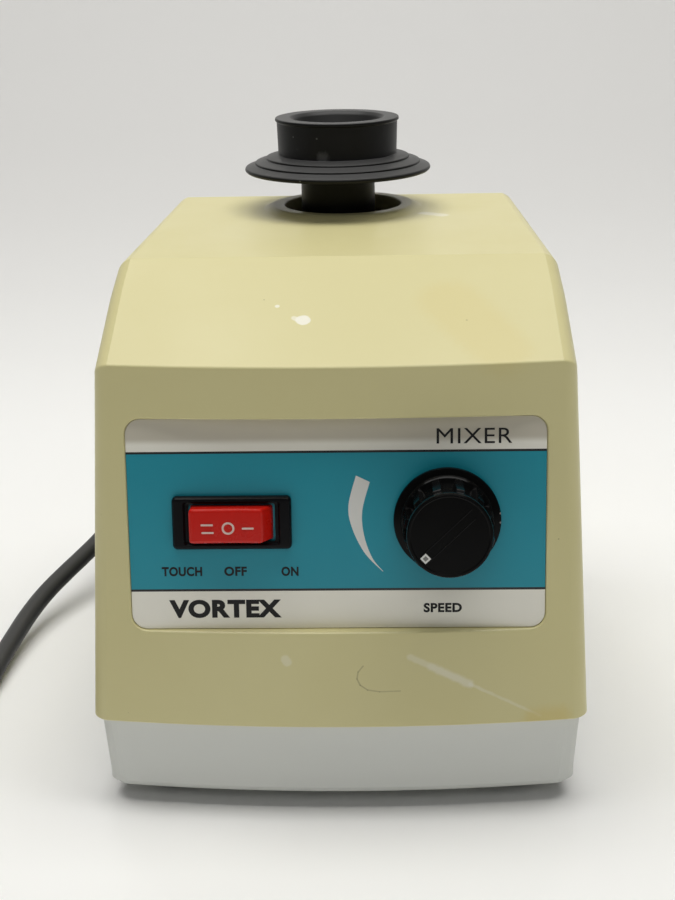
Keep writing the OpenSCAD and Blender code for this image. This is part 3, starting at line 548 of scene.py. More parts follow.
    outerUv = []
    for vertex in border:
        x, y, z = verts[vertex]
        p = Vector((x, y - midY, z)) - panelOrigin / milli
        outerUv.append((p.x, p.dot(panelUp)))
    innerUv = opening(values["labelEdge"])
    rings = []
    for share in (0.25, 0.5, 0.75, 0.92, 1.0):
        rings.append([surfacePoint(o[0] + (i[0] - o[0]) * share, o[1] + (i[1] - o[1]) * share)
                      for o, i in zip(outerUv, innerUv)])
    straight = opening(0.0)
    rings.append([surfacePoint(o[0] * 0.65 + i[0] * 0.35, o[1] * 0.65 + i[1] * 0.35, -0.08)
                  for o, i in zip(innerUv, straight)])
    rings.append([surfacePoint(u, v, -values["labelEdge"]) for u, v in straight])
    seat = []
    for u, v in straight:
        p = panelOrigin / milli + Vector((u, 0, 0)) + panelUp * v
        seat.append((p.x, p.y + midY, p.z))
    rings.append(seat)
    faces.append(tuple(addRings(border, rings)))

    # flat top, with the hole for the head
    border = [index(i, topStart) for i in range(firstMain, lastMain)]
    border += [index(lastMain, j) for j in range(topStart, topEnd)]
    border += [index(i, topEnd) for i in range(lastMain, firstMain, -1)]
    border += [index(firstMain, j) for j in range(topEnd, topStart, -1)]
    hole = values["hole"] / 2
    reaches = (9.0, 7.6, 6.6, 5.8, 5.0, 4.2, 3.4, 2.4, 1.2, 0.4)     # rings outside the hole, in mm
    rings = []
    for number, reach in enumerate(reaches):
        ring = []
        for vertex in border:
            x, y, z = verts[vertex]
            far = math.hypot(x, y - axisY)
            r = hole + min(reach, (far - hole) * (len(reaches) - number) / (len(reaches) + 1))
            px, py = x / far * r, axisY + (y - axisY) / far * r
            ring.append((px, py, topZ + bump(px, py)))
        rings.append(ring)
    for r, z in ((hole + 0.1, collarRise - 0.12), (hole, collarRise - 0.4), (hole, -values["wall"])):
        ring = []
        for vertex in border:
            x, y, _ = verts[vertex]
            far = math.hypot(x, y - axisY)
            ring.append((x / far * r, axisY + (y - axisY) / far * r, topZ + z))
        rings.append(ring)
    addRings(border, rings)

    # lower lip
    edge = [index(i, 0) for i in range(len(grid))]
    edge += [index(i, count - 1) for i in range(len(grid) - 1, -1, -1)]
    ringPoints = [Vector(verts[v]) for v in edge]
    inward = []
    for k, p in enumerate(ringPoints):
        d = (ringPoints[(k + 1) % len(ringPoints)] - ringPoints[k - 1]).normalized()
        inward.append(Vector((-d.y, d.x, 0)))
    rings = []
    lipRound = 0.4
    for step, z in ((lipRound, 0.0), (2.6, 0.0), (3.0, 0.4), (3.4, 7.0)):
        rings.append([tuple(Vector((p.x, p.y, seamZ + z)) + n * step) for p, n in zip(ringPoints, inward)])
    for vertex in edge:
        x, y, z = verts[vertex]
        verts[vertex] = (x, y, z + lipRound)
    addRings(edge, rings)
    return [(x, y - midY, z) for x, y, z in verts], faces


coverLook = {"colour": (0.70, 0.645, 0.34), "second": (0.66, 0.60, 0.29), "rough": 0.36,
             "stain": (0.68, 0.57, 0.22), "pale": (0.88, 0.86, 0.74), "dirt": (0.20, 0.17, 0.09)}
# marks on the cover: kind, start, end, half width, softness, raggedness, strength
coverMarks = [
    ("white", (-8.2, -45.4, 127.0), (-8.2, -45.4, 127.0), 1.7, 0.5, 0.6, 0.9),
    ("white", (-9.6, -45.0, 127.2), (-10.6, -44.6, 127.4), 0.5, 0.5, 0.5, 0.6),
    ("white", (-15.1, -39.9, 129.4), (-15.1, -39.9, 129.4), 0.5, 0.3, 0.2, 0.8),
    ("dark", (33.7, -45.7, 126.9), (33.7, -45.7, 126.9), 0.3, 0.25, 0.1, 0.8),
    ("dark", (-43.2, -35.5, 131.4), (-42.1, -38.7, 130.0), 0.12, 0.2, 0.2, 0.5),
    ("dark", (-39.2, -57.1, 121.9), (-33.6, -57.2, 121.8), 0.1, 0.2, 0.2, 0.45),
    ("white", (18.5, -72.9, 44.8), (33.9, -73.0, 37.1), 0.4, 0.8, 0.6, 0.35),
    ("white", (24.0, -72.9, 42.0), (33.9, -73.0, 37.1), 0.7, 0.9, 0.8, 0.25),
    ("white", (33.9, -73.0, 37.1), (52.2, -72.5, 27.7), 0.15, 0.5, 0.5, 0.35),
    ("dark", (6.4, -73.5, 42.6), (5.1, -73.7, 41.0), 0.08, 0.2, 0.1, 0.4),
    ("dark", (5.1, -73.7, 41.0), (4.8, -74.0, 39.2), 0.08, 0.2, 0.1, 0.4),
    ("dark", (4.8, -74.0, 39.2), (5.6, -74.2, 37.5), 0.08, 0.2, 0.1, 0.45),
    ("dark", (5.6, -74.2, 37.5), (7.5, -74.4, 36.2), 0.08, 0.2, 0.1, 0.45),
    ("dark", (7.5, -74.4, 36.2), (10.6, -74.4, 35.7), 0.08, 0.2, 0.1, 0.35),
    ("dark", (10.6, -74.4, 35.7), (15.9, -74.2, 35.8), 0.08, 0.2, 0.1, 0.3),
    ("white", (-13.1, -73.2, 43.7), (-13.6, -73.2, 44.4), 0.8, 0.7, 0.3, 0.35),
    ("dark", (-60.5, -63.9, 81.0), (-60.4, -63.9, 83.5), 0.25, 0.3, 0.3, 0.6),
    ("white", (25.5, 41.5, 138.2), (30.6, 37.8, 138.2), 1.3, 1.6, 1.5, 0.55),
    ("stain", (50.5, -72.6, 27.0), (57.5, -71.6, 27.4), 0.8, 3.5, 1.5, 0.75),
    ("stain", (29.7, -38.4, 130.1), (41.5, -55.5, 122.6), 5.0, 6.0, 3.0, 0.32),
    ("dark", (-53.4, -72.0, 47.0), (-53.4, -76.0, 26.5), 0.1, 0.25, 0.0, 0.28),
    ("dark", (53.4, -72.0, 47.0), (53.4, -76.0, 26.5), 0.1, 0.25, 0.0, 0.28),
]


def makeCoverMaterial(look, marks):
    material, tree, shader, place = newMaterial("coverPlastic")
    patches = useGroup(tree, mottleGroup, {"Vector": place, "Colour": (*look["colour"], 1),
                                           "Second": (*look["second"], 1), "Scale": 14.0, "Amount": 0.6})
    base = patches.outputs["Colour"]
    tints = {"white": look["pale"], "dark": look["dirt"], "stain": look["stain"]}
    for kind, start, end, width, soft, ragged, strength in marks:
        mask = useGroup(tree, strokeGroup, {"Vector": place, "Start": tuple(c * milli for c in start),
                                            "End": tuple(c * milli for c in end), "Width": width * milli,
                                            "Soft": soft * milli, "Ragged": ragged * milli}).outputs["Mask"]
        base = mixColour(tree, math2(tree, "MULTIPLY", mask, strength), base, tints[kind])
    dust = useGroup(tree, speckGroup, {"Vector": place, "Scale": 160.0, "Size": 0.035, "Share": 0.16})
    base = mixColour(tree, math2(tree, "MULTIPLY", dust.outputs["Mask"], 0.45), base, look["dirt"])
    tree.links.new(base, shader.inputs["Base Color"])
    varyShine(tree, shader, patches.outputs["Mask"], look["rough"])
    addGrain(tree, shader, place, {"Scale": 1100.0, "Strength": 0.22, "Height": 0.00006})
    return material


print("stage: building the cover")
addPiece("coverShell", *buildCover(coverValues), "root", "cream_plastic",
         makeCoverMaterial(coverLook, coverMarks), ("cover",), angle=11.0)

# label
# recessShade is a painted shade colour for the top of the label, under the recess's upper lip
labelValues = {"radius": 4.0, "bandTop": 18.8, "bandBottom": -17.3, "line": 0.3,
               "white": (0.93, 0.91, 0.81), "teal": (0.012, 0.30, 0.39), "tealDark": (0.010, 0.26, 0.35),
               "black": (0.012, 0.012, 0.014), "rough": 0.30,
               "recessShade": (0.60, 0.56, 0.46), "recessShadeFrom": 20.6}


def makeLabelMaterial(values):
    material, tree, shader, place = newMaterial("labelFilm")
    parts = addNode(tree, "ShaderNodeSeparateXYZ", {0: place})
    up = parts.outputs[1]
    band = math2(tree, "MULTIPLY", math2(tree, "LESS_THAN", up, values["bandTop"] * milli),
                 math2(tree, "GREATER_THAN", up, values["bandBottom"] * milli))
    patches = useGroup(tree, mottleGroup, {"Vector": place, "Colour": (*values["teal"], 1),
                                           "Second": (*values["tealDark"], 1), "Scale": 18.0, "Amount": 0.6})
    whites = useGroup(tree, mottleGroup, {"Vector": place, "Colour": (*values["white"], 1),
                                          "Second": tuple(c * 0.94 for c in values["white"]) + (1,),
                                          "Scale": 25.0, "Amount": 0.7})
    # painted shade: the upper white band darkens towards the label's top edge, standing in for the shadow of
    # the recess's upper lip
    recessShade = mapRange(tree, up, values["recessShadeFrom"] * milli, (values["recessShadeFrom"] + 2.0) * milli, smooth=True)
    pale = mixColour(tree, recessShade, whites.outputs["Colour"], values["recessShade"])
    base = mixColour(tree, band, pale, patches.outputs["Colour"])
    for height in (values["bandTop"], values["bandBottom"]):
        off = math2(tree, "ABSOLUTE", math2(tree, "SUBTRACT", up, height * milli))
        base = mixColour(tree, math2(tree, "LESS_THAN", off, values["line"] * milli), base, values["black"])
    tree.links.new(base, shader.inputs["Base Color"])
    shader.inputs["Roughness"].default_value = values["rough"]
    addGrain(tree, shader, place, {"Scale": 500.0, "Strength": 0.08, "Height": 0.00005})
    return material


def buildLabel(values):
    loops = []
    for grow, w in ((0.0, 0.02), (0.0, labelThick - 0.12), (-0.04, labelThick - 0.04), (-0.12, labelThick)):
        loops.append([(x, y, w) for x, y in roundRect(labelWidth + 2 * grow, labelHeight + 2 * grow,
                                                      values["radius"] + grow, 8)])
    return loftLoops(loops)


addPiece("labelFilm", *buildLabel(labelValues), "root", "label_film", makeLabelMaterial(labelValues),
         ("label_plate",), matrix=panelAt(0, 0))

inkMaterial = plainMaterial("blackInk", (0.012, 0.012, 0.013), 0.4, grain=0.05, level=0.3)
whiteInk = plainMaterial("whiteInk", (0.80, 0.80, 0.76), 0.45, grain=0.05)


def addText(name, words, centre, size, body, material, matrix, bold=0.0, depthMm=0.03):
    data = bpy.data.curves.new(name, "FONT")
    data.body = words
    data.align_x = "CENTER"
    data.offset = bold
    data.space_character = 1.08
    data.resolution_u = 6
    holder = bpy.data.objects.new(name + "Curve", data)
    scene.collection.objects.link(holder)
    bpy.context.view_layer.update()
    mesh = bpy.data.meshes.new_from_object(holder.evaluated_get(bpy.context.evaluated_depsgraph_get()))
    bpy.data.objects.remove(holder)
    xs, ys = [v.co.x for v in mesh.vertices], [v.co.y for v in mesh.vertices]
    for v in mesh.vertices:
        v.co.x = (centre[0] + ((v.co.x - min(xs)) / (max(xs) - min(xs)) - 0.5) * size[0]) * milli
        v.co.y = (centre[1] + ((v.co.y - min(ys)) / (max(ys) - min(ys)) - 0.5) * size[1]) * milli
        v.co.z = depthMm * milli
    mesh.materials.clear()
    mesh.materials.append(material)
    piece = bpy.data.objects.new(name, mesh)
    scene.collection.objects.link(piece)
    piece.matrix_world = matrix
    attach(piece, body)


# words, centre, size in mm and boldness
labelWords = {"touchWord": ("TOUCH", (-39.9, -12.3), (10.4, 2.5), 0.04),
              "offWord": ("OFF", (-26.1, -12.3), (5.8, 2.5), 0.04),
              "onWord": ("ON", (-12.1, -12.4), (4.4, 2.5), 0.04),
              "speedWord": ("SPEED", (27.0, -22.3), (9.8, 2.5), 0.04),
              "mixerWord": ("MIXER", (35.0, 22.6), (19.0, 3.9), 0.0),
              "vortexWord": ("VORTEX", (-29.0, -22.3), (29.0, 4.9), 0.05)}
for wordName, (words, centre, size, bold) in labelWords.items():
    addText(wordName, words, centre, size, "root", inkMaterial, panelAt(0, 0, labelThick), bold)


def throughPoints(points, steps=5):              # a smooth open line through the points
    made = []
    for i in range(len(points) - 1):
        p = [Vector(points[max(0, min(len(points) - 1, i + k))]) for k in (-1, 0, 1, 2)]
        for k in range(steps):
            s = k / steps
            made.append(0.5 * (2 * p[1] + (p[2] - p[0]) * s + (2 * p[0] - 5 * p[1] + 4 * p[2] - p[3]) * s * s
                               + (3 * p[1] - p[0] - 3 * p[2] + p[3]) * s ** 3))
    made.append(Vector(points[-1]))
    return made


wedgeValues = {"outer": [(5.1, 12.6), (3.1, 4.8), (4.0, -1.2), (7.2, -7.8), (11.7, -12.6)],
               "inner": [(8.6, 10.9), (6.6, 3.4), (7.0, -3.0), (9.0, -8.9), (11.8, -12.5)]}


def buildWedge(values):
    outer, inner = throughPoints(values["outer"]), throughPoints(values["inner"])
    verts = [(p.x, p.y, 0.03) for p in outer] + [(p.x, p.y, 0.03) for p in inner]
    n = len(outer)
    return verts, [(i, i + 1, n + i + 1, n + i) for i in range(n - 1)]


addPiece("speedWedge", *buildWedge(wedgeValues), "root", "white_ink", whiteInk,
         matrix=panelAt(0, 0, labelThick), weighted=False)
print("stage: label made")

# switch
switchCentre = onPanel(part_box("switch_rocker"))
switchValues = {"width": 30.4, "height": 13.8, "radius": 1.2, "thick": 2.0, "wellW": 22.1, "wellH": 9.9,
                "boxW": 26.8, "boxH": 11.4, "boxDepth": 18.0}
switchDrop = 0.45                                # the switch sits this much below its CAD node's place
switchMatrix = panelAt(switchCentre.x, switchCentre.y - switchDrop, labelThick)


def buildSwitchBody(v):
    loops = []
    for w, h, r, z in ((v["boxW"], v["boxH"], 0.3, -v["boxDepth"]), (v["boxW"], v["boxH"], 0.3, 0.0),
                       (v["width"], v["height"], v["radius"], 0.0),
                       (v["width"], v["height"], v["radius"], v["thick"] - 0.75),
                       (v["width"] - 0.25, v["height"] - 0.25, v["radius"] - 0.1, v["thick"] - 0.5),
                       (v["width"] - 1.0, v["height"] - 1.0, v["radius"] - 0.4, v["thick"] - 0.05),
                       (v["width"] - 1.3, v["height"] - 1.3, v["radius"] - 0.5, v["thick"]),
                       (v["wellW"] + 2.6, v["wellH"] + 1.6, 0.9, v["thick"]),
                       (v["wellW"] + 2.4, v["wellH"] + 1.4, 0.8, v["thick"] - 0.15),
                       (v["wellW"] + 1.6, v["wellH"] + 0.8, 0.6, v["thick"] - 0.7),
                       (v["wellW"], v["wellH"], 0.4, v["thick"] - 0.8),
                       (v["wellW"], v["wellH"], 0.4, -6.8)):
        loops.append([(x, y, z) for x, y in roundRect(w, h, r, 5)])
    return loftLoops(loops)


blackPlastic = plainMaterial("blackPlastic", (0.005, 0.005, 0.006), 0.24, second=(0.009, 0.009, 0.010),
                             grain=0.1, scale=700.0, amount=0.6, specks=0.02, level=0.12)
addPiece("switchFrame", *buildSwitchBody(switchValues), "root", "black_plastic", blackPlastic,
         ("switch_body",), matrix=switchMatrix)

rockerValues = {"width": 21.5, "height": 8.9, "pivot": -0.3, "chamfer": 0.7}


def buildRocker(v):
    half, tall = v["width"] / 2, v["height"] / 2
    low = [(-half * math.cos(a), -half * math.sin(a)) for a in (0.05, 0.15, 0.27, 0.38)]     # about the pivot
    under = [(-half * 0.9, -4.4), (half * 0.9, -4.4)]
    top = [(half - 0.8, 1.9), (half - 2.6, 5.35), (half - 3.2, 5.6), (0.0, 5.2), (-half + 1.0, 5.6),
           (-half + 0.2, 5.3), (-half + 0.35, 1.9)]
    profile = roundCorners(low + under + [(-x, z) for x, z in reversed(low)] + top, 0.35, 3, True)
    stations = ((-tall, v["chamfer"]), (-tall + 0.25, 0.35 * v["chamfer"]), (-tall + 0.75, 0.0),
                (tall - 0.95, 0.0), (tall - 0.3, 0.35 * v["chamfer"]), (tall, v["chamfer"]))
    loops = []
    for y, cut in stations:
        loops.append([(x - math.copysign(min(cut, abs(x)), x) * (0.6 if z > 1 else 0.0),
                       y, v["pivot"] + (z - cut if z > 1.0 else z)) for x, z in profile])
    return loftLoops(loops)


redPlastic = plainMaterial("redPlastic", (0.62, 0.012, 0.006), 0.28, second=(0.52, 0.009, 0.005), grain=0.05,
                           mottle=60.0, amount=0.5, level=0.35)
addPiece("rockerCap", *buildRocker(rockerValues), "rocker", "red_plastic", redPlastic, ("switch_rocker",),
         matrix=switchMatrix, angle=24.0)

legendInk = plainMaterial("legendInk", (0.80, 0.62, 0.56), 0.5, second=(0.7, 0.42, 0.36), mottle=900.0,
                          grain=0.0)


def buildBar(cx, cy, width, height, z):
    loop = [(cx + x, cy + y, z) for x, y in roundRect(width, height, height * 0.3, 3)]
    return loop, [tuple(range(len(loop)))]


def buildRing(cx, cy, outer, inner, z, segments=40):
    verts = []
    for r in (outer, inner):
        for k in range(segments):
            a = 2 * math.pi * k / segments
            verts.append((cx + r * math.cos(a), cy + r * math.sin(a), z))
    return verts, loftFaces(2, segments)


legendHeight = rockerValues["pivot"] + 5.62
legendParts = joinParts(buildBar(-5.9, 0.45, 3.1, 0.5, legendHeight),
                        buildBar(-5.75, -1.55, 3.1, 0.5, legendHeight),
                        buildRing(-0.6, -0.5, 1.62, 1.1, legendHeight - 0.33),
                        buildBar(4.4, -0.5, 3.0, 0.5, legendHeight - 0.1))
addPiece("rockerLegend", *legendParts, "rocker", "white_ink", legendInk, matrix=switchMatrix, weighted=False)

# speed knob
knobCentre = onPanel(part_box("pot_washer"))
knobValues = {"skirt": 27.2, "skirtLow": 1.2, "skirtHigh": 2.8, "grip": 22.6, "notch": 20.0, "face": 21.2,
              "front": 18.2, "ribs": 12, "ribDeg": 12.0, "pointer": 223.5, "channel": 2.3, "bore": 3.05}
knobMatrix = panelAt(knobCentre.x, knobCentre.y, labelThick)


def buildKnob(v):
    steps = 12 * v["ribs"]
    turn = math.radians(16.0)

    def gripLoop(ribRadius, notchRadius, z):
        loop = []
        for k in range(steps):
            a = 2 * math.pi * k / steps
            pitch = 360.0 / v["ribs"]
            off = abs((math.degrees(a) + pitch / 2) % pitch - pitch / 2)
            share = smoothStep((v["ribDeg"] / 2 + 1.6 - off) / 2.6)
            r = notchRadius + (ribRadius - notchRadius) * share
            loop.append((r * math.cos(a + turn), r * math.sin(a + turn), z))
        return loop

    def circle(r, z):
        return gripLoop(r, r, z)

    skirt, grip, notch, face, front = v["skirt"] / 2, v["grip"] / 2, v["notch"] / 2, v["face"] / 2, v["front"]
    loops = [circle(v["bore"], v["skirtLow"]), circle(skirt - 0.3, v["skirtLow"]),
             circle(skirt, v["skirtLow"] + 0.3), circle(skirt, v["skirtHigh"] - 0.4),
             circle(skirt - 0.15, v["skirtHigh"] - 0.1), circle(skirt - 0.5, v["skirtHigh"]),
             circle(grip + 0.55, v["skirtHigh"] + 0.15), circle(grip + 0.4, v["skirtHigh"] + 0.5),
             gripLoop(grip, grip - 0.05, v["skirtHigh"] + 0.9), gripLoop(grip, notch, v["skirtHigh"] + 1.2),
             gripLoop(grip - 0.1, notch, front - 3.2), gripLoop(grip - 0.3, notch, front - 2.9),
             gripLoop(face + 0.12, notch, front - 2.75), gripLoop(face + 0.1, notch + 0.05, front - 1.6),
             circle(face, front - 1.5), circle(face, front - 0.45), circle(face - 0.12, front - 0.15),
             circle(face - 0.4, front), circle(face - 0.8, front), circle(face - 1.0, front - 0.12)]
    body = loftLoops(loops)
    direction = math.radians(v["pointer"])
    along = Vector((math.cos(direction), math.sin(direction), 0))
    across = Vector((-along.y, along.x, 0))
    ridges = []
    for side, near in ((1, -6.6), (-1, -7.6)):
        middle = across * side * v["channel"] / 2
        verts = []
        for s in (near - 0.8, 8.2):
            for offset, z in ((-0.16, front - 0.13), (0.0, front - 0.02), (0.16, front - 0.13)):
                p = along * s + middle + across * offset
                verts.append((p.x, p.y, z))
        ridges.append((verts, [(0, 1, 4, 3), (1, 2, 5, 4), (0, 1, 2), (3, 4, 5)]))
    return joinParts(body, *ridges)


knobPlastic = plainMaterial("knobPlastic", (0.003, 0.003, 0.003), 0.17, second=(0.005, 0.005, 0.005),
                            grain=0.03, scale=500.0, amount=0.6, specks=0.02, level=0.1)
addPiece("knobShell", *buildKnob(knobValues), "knob", "black_plastic", knobPlastic, ("speed_knob",),
         matrix=knobMatrix, angle=28.0)


def buildMarker(v, side, z):
    direction = math.radians(v["pointer"])
    centre = Vector((math.cos(direction), math.sin(direction))) * v["face"] * 0.387
    verts = []
    for k in range(4):
        a = direction + math.radians(45 + 90 * k)
        verts.append((centre.x + side * 0.7071 * math.cos(a), centre.y + side * 0.7071 * math.sin(a), z))
    return verts, [(0, 1, 2, 3)]


markerGrey = plainMaterial("markerGrey", (0.22, 0.22, 0.20), 0.5, mottle=2500.0, grain=0.0)
addPiece("knobMark", *buildMarker(knobValues, 1.9, knobValues["front"] + 0.02), "knob", "white_ink",
         whiteInk, ("knob_marker",), matrix=knobMatrix, weighted=False)
addPiece("knobMarkWear", *buildMarker(knobValues, 1.0, knobValues["front"] + 0.04), "knob", "white_ink",
         markerGrey, matrix=knobMatrix, weighted=False)
print("stage: switch and knob made")

# cup head
cupValues = {"cup": 38.3, "mouth": 27.4, "flange": 57.8, "neck": 23.0, "post": 12.08, "socket": 12.3,
             "neckLow": 31.3, "flangeLow": 16.4}


def buildCup(v):
    low, flange = rimZ - v["neckLow"], rimZ - v["flangeLow"]
    f, c, m = v["flange"] / 2, v["cup"] / 2, v["mouth"] / 2
    socket = low + v["socket"]
    sharp = [(0, socket), (v["post"] / 2, socket), (v["post"] / 2, low), (v["neck"] / 2, low),
             (v["neck"] / 2, flange + 0.4), (f - 6, flange - 0.4), (f - 0.6, flange), (f, flange + 0.6),
             (f - 0.2, flange + 1.4), (f - 3.0, flange + 2.4), (f - 3.25, flange + 2.4),
             (f - 3.3, flange + 3.0), (f - 6.4, flange + 3.9), (f - 6.65, flange + 3.9),
             (f - 6.7, flange + 4.5), (c - 0.8, flange + 5.2), (c - 0.5, rimZ - 1.2), (c, rimZ - 0.9),
             (c - 0.1, rimZ), (m + 1, rimZ), (m, rimZ - 1), (m - 3, rimZ - 7), (m - 7.5, rimZ - 11.5),
             (2.5, rimZ - 13), (0, rimZ - 13)]
    return lathe(roundCorners(sharp, 0.35, 3), (axisX, axisY - midY))


def makeRubber(name, colour, rough, marks=()):   # marks are pale spots: place and half width in metres
    material, tree, shader, place = newMaterial(name)
    patches = useGroup(tree, mottleGroup, {"Vector": place, "Colour": (*colour, 1),
                                           "Second": tuple(c * 1.9 for c in colour) + (1,), "Scale": 90.0,
                                           "Amount": 0.5})
    base = patches.outputs["Colour"]
    for start, width in marks:
        mask = useGroup(tree, strokeGroup, {"Vector": place, "Start": start, "End": start, "Width": width,
                                            "Soft": width * 2, "Ragged": width * 2}).outputs["Mask"]
        base = mixColour(tree, math2(tree, "MULTIPLY", mask, 0.5), base, (0.12, 0.12, 0.12))
    normal = addNode(tree, "ShaderNodeNewGeometry").outputs["Normal"]
    facing = addNode(tree, "ShaderNodeSeparateXYZ", {0: normal})
    dustAndPaintedTopLight = mapRange(tree, facing.outputs[2], 0.2, 0.9)            # faces that look up are greyer: dust, and painted light from above
    base = mixColour(tree, dustAndPaintedTopLight, base, (0.065, 0.065, 0.064))
    dust = useGroup(tree, speckGroup, {"Vector": place, "Scale": 420.0, "Size": 0.12, "Share": 0.06})
    base = mixColour(tree, math2(tree, "MULTIPLY", dust.outputs["Mask"], 0.15), base, (0.4, 0.4, 0.38))
    tree.links.new(base, shader.inputs["Base Color"])
    shader.inputs["Roughness"].default_value = rough
    shader.inputs["Specular IOR Level"].default_value = 0.2
    addGrain(tree, shader, place, {"Scale": 1600.0, "Strength": 0.2, "Height": 0.00005})
    return material


cupScuff = ((-0.0055, (axisY - midY) * milli - 0.0185, 0.1562), 0.0009)
cupRubber = makeRubber("cupRubber", (0.004, 0.004, 0.004), 0.4, (cupScuff,))
addPiece("cupRubberHead", *buildCup(cupValues), "cup", "black_rubber", cupRubber, ("cup_head",), angle=50.0)
print("stage: cup made")

# cord
cordValues = {"diameter": 0.006, "coilCentre": (-157.0, 30.0), "steps": 24, "topRadius": 34.0,
              "topHeight": 13.6}


def cordRoute(v):                                # free run, coil and tail, in mm from the cover's front foot
    free = [(-28, 176, 34), (-28, 186, 34), (-28, 195, 34), (-31, 208, 33.2), (-40, 219, 32),
            (-53, 224, 30.4), (-66, 221, 28.6), (-75.5, 211, 26.4), (-80, 197, 24.2), (-82.3, 182, 21.8),
            (-85, 167, 19.4), (-88.8, 153, 16.8), (-93.6, 141.5, 14.4), (-98.6, 131, 12),
            (-102.8, 120.5, 9.9), (-106, 109, 7.8), (-108, 97, 6.1), (-109.4, 84, 4.8), (-110.4, 70, 3.8),
            (-112, 57, 3.2), (-114.6, 45, 3.1)]
    turns = [(40.0, 3.05), (34.0, 3.05), (28.0, 3.05), (31.0, 8.3), (37.0, 8.3), (34.0, 13.4),
             (v["topRadius"], v["topHeight"])]   # radius and height at the start of each turn
    cx, cy = v["coilCentre"]
    coil = []
    steps = v["steps"]
    for (r0, z0), (r1, z1) in zip(turns, turns[1:]):
        for k in range(steps):
            share = smoothStep((k / steps - 0.72) / 0.28)
            hump = 0.5 * math.sin(math.pi * share) if z1 > z0 + 1 else 0.0
            r, z = r0 + (r1 - r0) * share, z0 + (z1 - z0) * share + hump
            a = -2 * math.pi * k / steps
            coil.append((cx + r * math.cos(a), cy + r * math.sin(a), z))
    for k in range(steps // 2 + 1):
        a = -2 * math.pi * k / steps
        coil.append((cx + v["topRadius"] * math.cos(a), cy + v["topRadius"] * math.sin(a), v["topHeight"]))
    tail = [(-191, 42, 13.6), (-191, 54, 13.4), (-190.8, 66, 11.4), (-189.5, 78, 10.2), (-188.3, 88, 10),
            (-188, 96, 10), (-188, 101, 10)]
    return free + coil + tail


def buildCord(v, material):
    points = [Vector((x, y - midY, z)) * milli for x, y, z in cordRoute(v)]
    data = bpy.data.curves.new("powerCord", "CURVE")
    data.dimensions = "3D"
    data.bevel_depth = v["diameter"] / 2
    data.bevel_resolution = 5
    data.resolution_u = 6
    data.use_fill_caps = True
    spline = data.splines.new("BEZIER")
    spline.bezier_points.add(len(points) - 1)
    for point, place in zip(spline.bezier_points, points):
        point.co = place
        point.handle_left_type = point.handle_right_type = "AUTO"
    cable = bpy.data.objects.new("powerCord", data)
    scene.collection.objects.link(cable)
    data.materials.append(material)
    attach(cable, "root")
    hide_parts("cord", "cord_coil", "cord_tail")
    length = sum((b - a).length for a, b in zip(points, points[1:]))
    print("cord length", round(length, 3))
    return cable, length


cordRubber = makeRubber("cordRubber", (0.005, 0.005, 0.006), 0.42)
powerCord, cordLength = buildCord(cordValues, cordRubber)
print("stage: cord made")

# CAD nodes shown as they are
finishes = {                                     # colour, roughness, second colour, metallic, grain
    "basePaint": ((0.88, 0.83, 0.71), 0.42, (0.83, 0.78, 0.65), 0.0, 0.18),
    "footRubber": ((0.015, 0.015, 0.015), 0.6, None, 0.0, 0.2),
    "zincSteel": ((0.55, 0.55, 0.52), 0.35, None, 1.0, 0.08),
    "darkSteel": ((0.16, 0.16, 0.165), 0.4, None, 1.0, 0.08),
    "lightMetal": ((0.72, 0.72, 0.73), 0.38, None, 1.0, 0.1),
    "polishedSteel": ((0.68, 0.68, 0.69), 0.18, None, 1.0, 0.03),
    "brass": ((0.72, 0.52, 0.22), 0.3, None, 1.0, 0.06),
    "copper": ((0.75, 0.34, 0.16), 0.35, None, 1.0, 0.15),
    "whiteNylon": ((0.80, 0.79, 0.74), 0.45, None, 0.0, 0.08),
    "boardGreen": ((0.03, 0.16, 0.06), 0.4, None, 0.0, 0.06),
    "partOrange": ((0.62, 0.24, 0.05), 0.4, None, 0.0, 0.06),
    "switchRed": ((0.5, 0.03, 0.02), 0.4, None, 0.0, 0.05),
}
finished = {name: plainMaterial(name, colour, rough, second=second, metallic=metallic, grain=grain)
            for name, (colour, rough, second, metallic, grain) in finishes.items()}
bySlot = {"base_paint": "basePaint", "black_rubber": "footRubber", "zinc_screws": "zincSteel",
          "brass": "brass", "plated_steel": "zincSteel", "machined_aluminium": "lightMetal",
          "bearing_steel": "polishedSteel", "dark_steel": "darkSteel", "spring_steel": "polishedSteel",
          "laminated_steel": "darkSteel", "white_nylon": "whiteNylon", "copper_winding": "copper",
          "cast_aluminium": "lightMetal", "board_green": "boardGreen", "component_orange": "partOrange",
          "heat_sink_aluminium": "lightMetal", "red_plastic": "switchRed"}


def makeSmoother():                              # softens a CAD mesh without moving any of its vertices
    tree = bpy.data.node_groups.new("smoothByAngle", "GeometryNodeTree")
    tree.interface.new_socket("Geometry", in_out="INPUT", socket_type="NodeSocketGeometry")
    tree.interface.new_socket("Geometry", in_out="OUTPUT", socket_type="NodeSocketGeometry")
    start, end = tree.nodes.new("NodeGroupInput"), tree.nodes.new("NodeGroupOutput")
    merge = addNode(tree, "GeometryNodeMergeByDistance", {"Geometry": start.outputs[0], "Distance": 1e-6})
    strip = addNode(tree, "GeometryNodeRemoveAttribute", {"Geometry": merge.outputs[0],
                                                          "Name": "custom_normal"})
    faces = addNode(tree, "GeometryNodeSetShadeSmooth", {"Geometry": strip.outputs[0], "Shade Smooth": True},
                    domain="FACE")
    angle = tree.nodes.new("GeometryNodeInputMeshEdgeAngle")
    flat = addNode(tree, "FunctionNodeCompare", {0: angle.outputs[0], 1: math.radians(30)}, data_type="FLOAT",
                   operation="LESS_THAN")
    edges = addNode(tree, "GeometryNodeSetShadeSmooth", {"Geometry": faces.outputs[0],
                                                         "Shade Smooth": flat.outputs[0]}, domain="EDGE")
    tree.links.new(edges.outputs[0], end.inputs[0])
    return tree


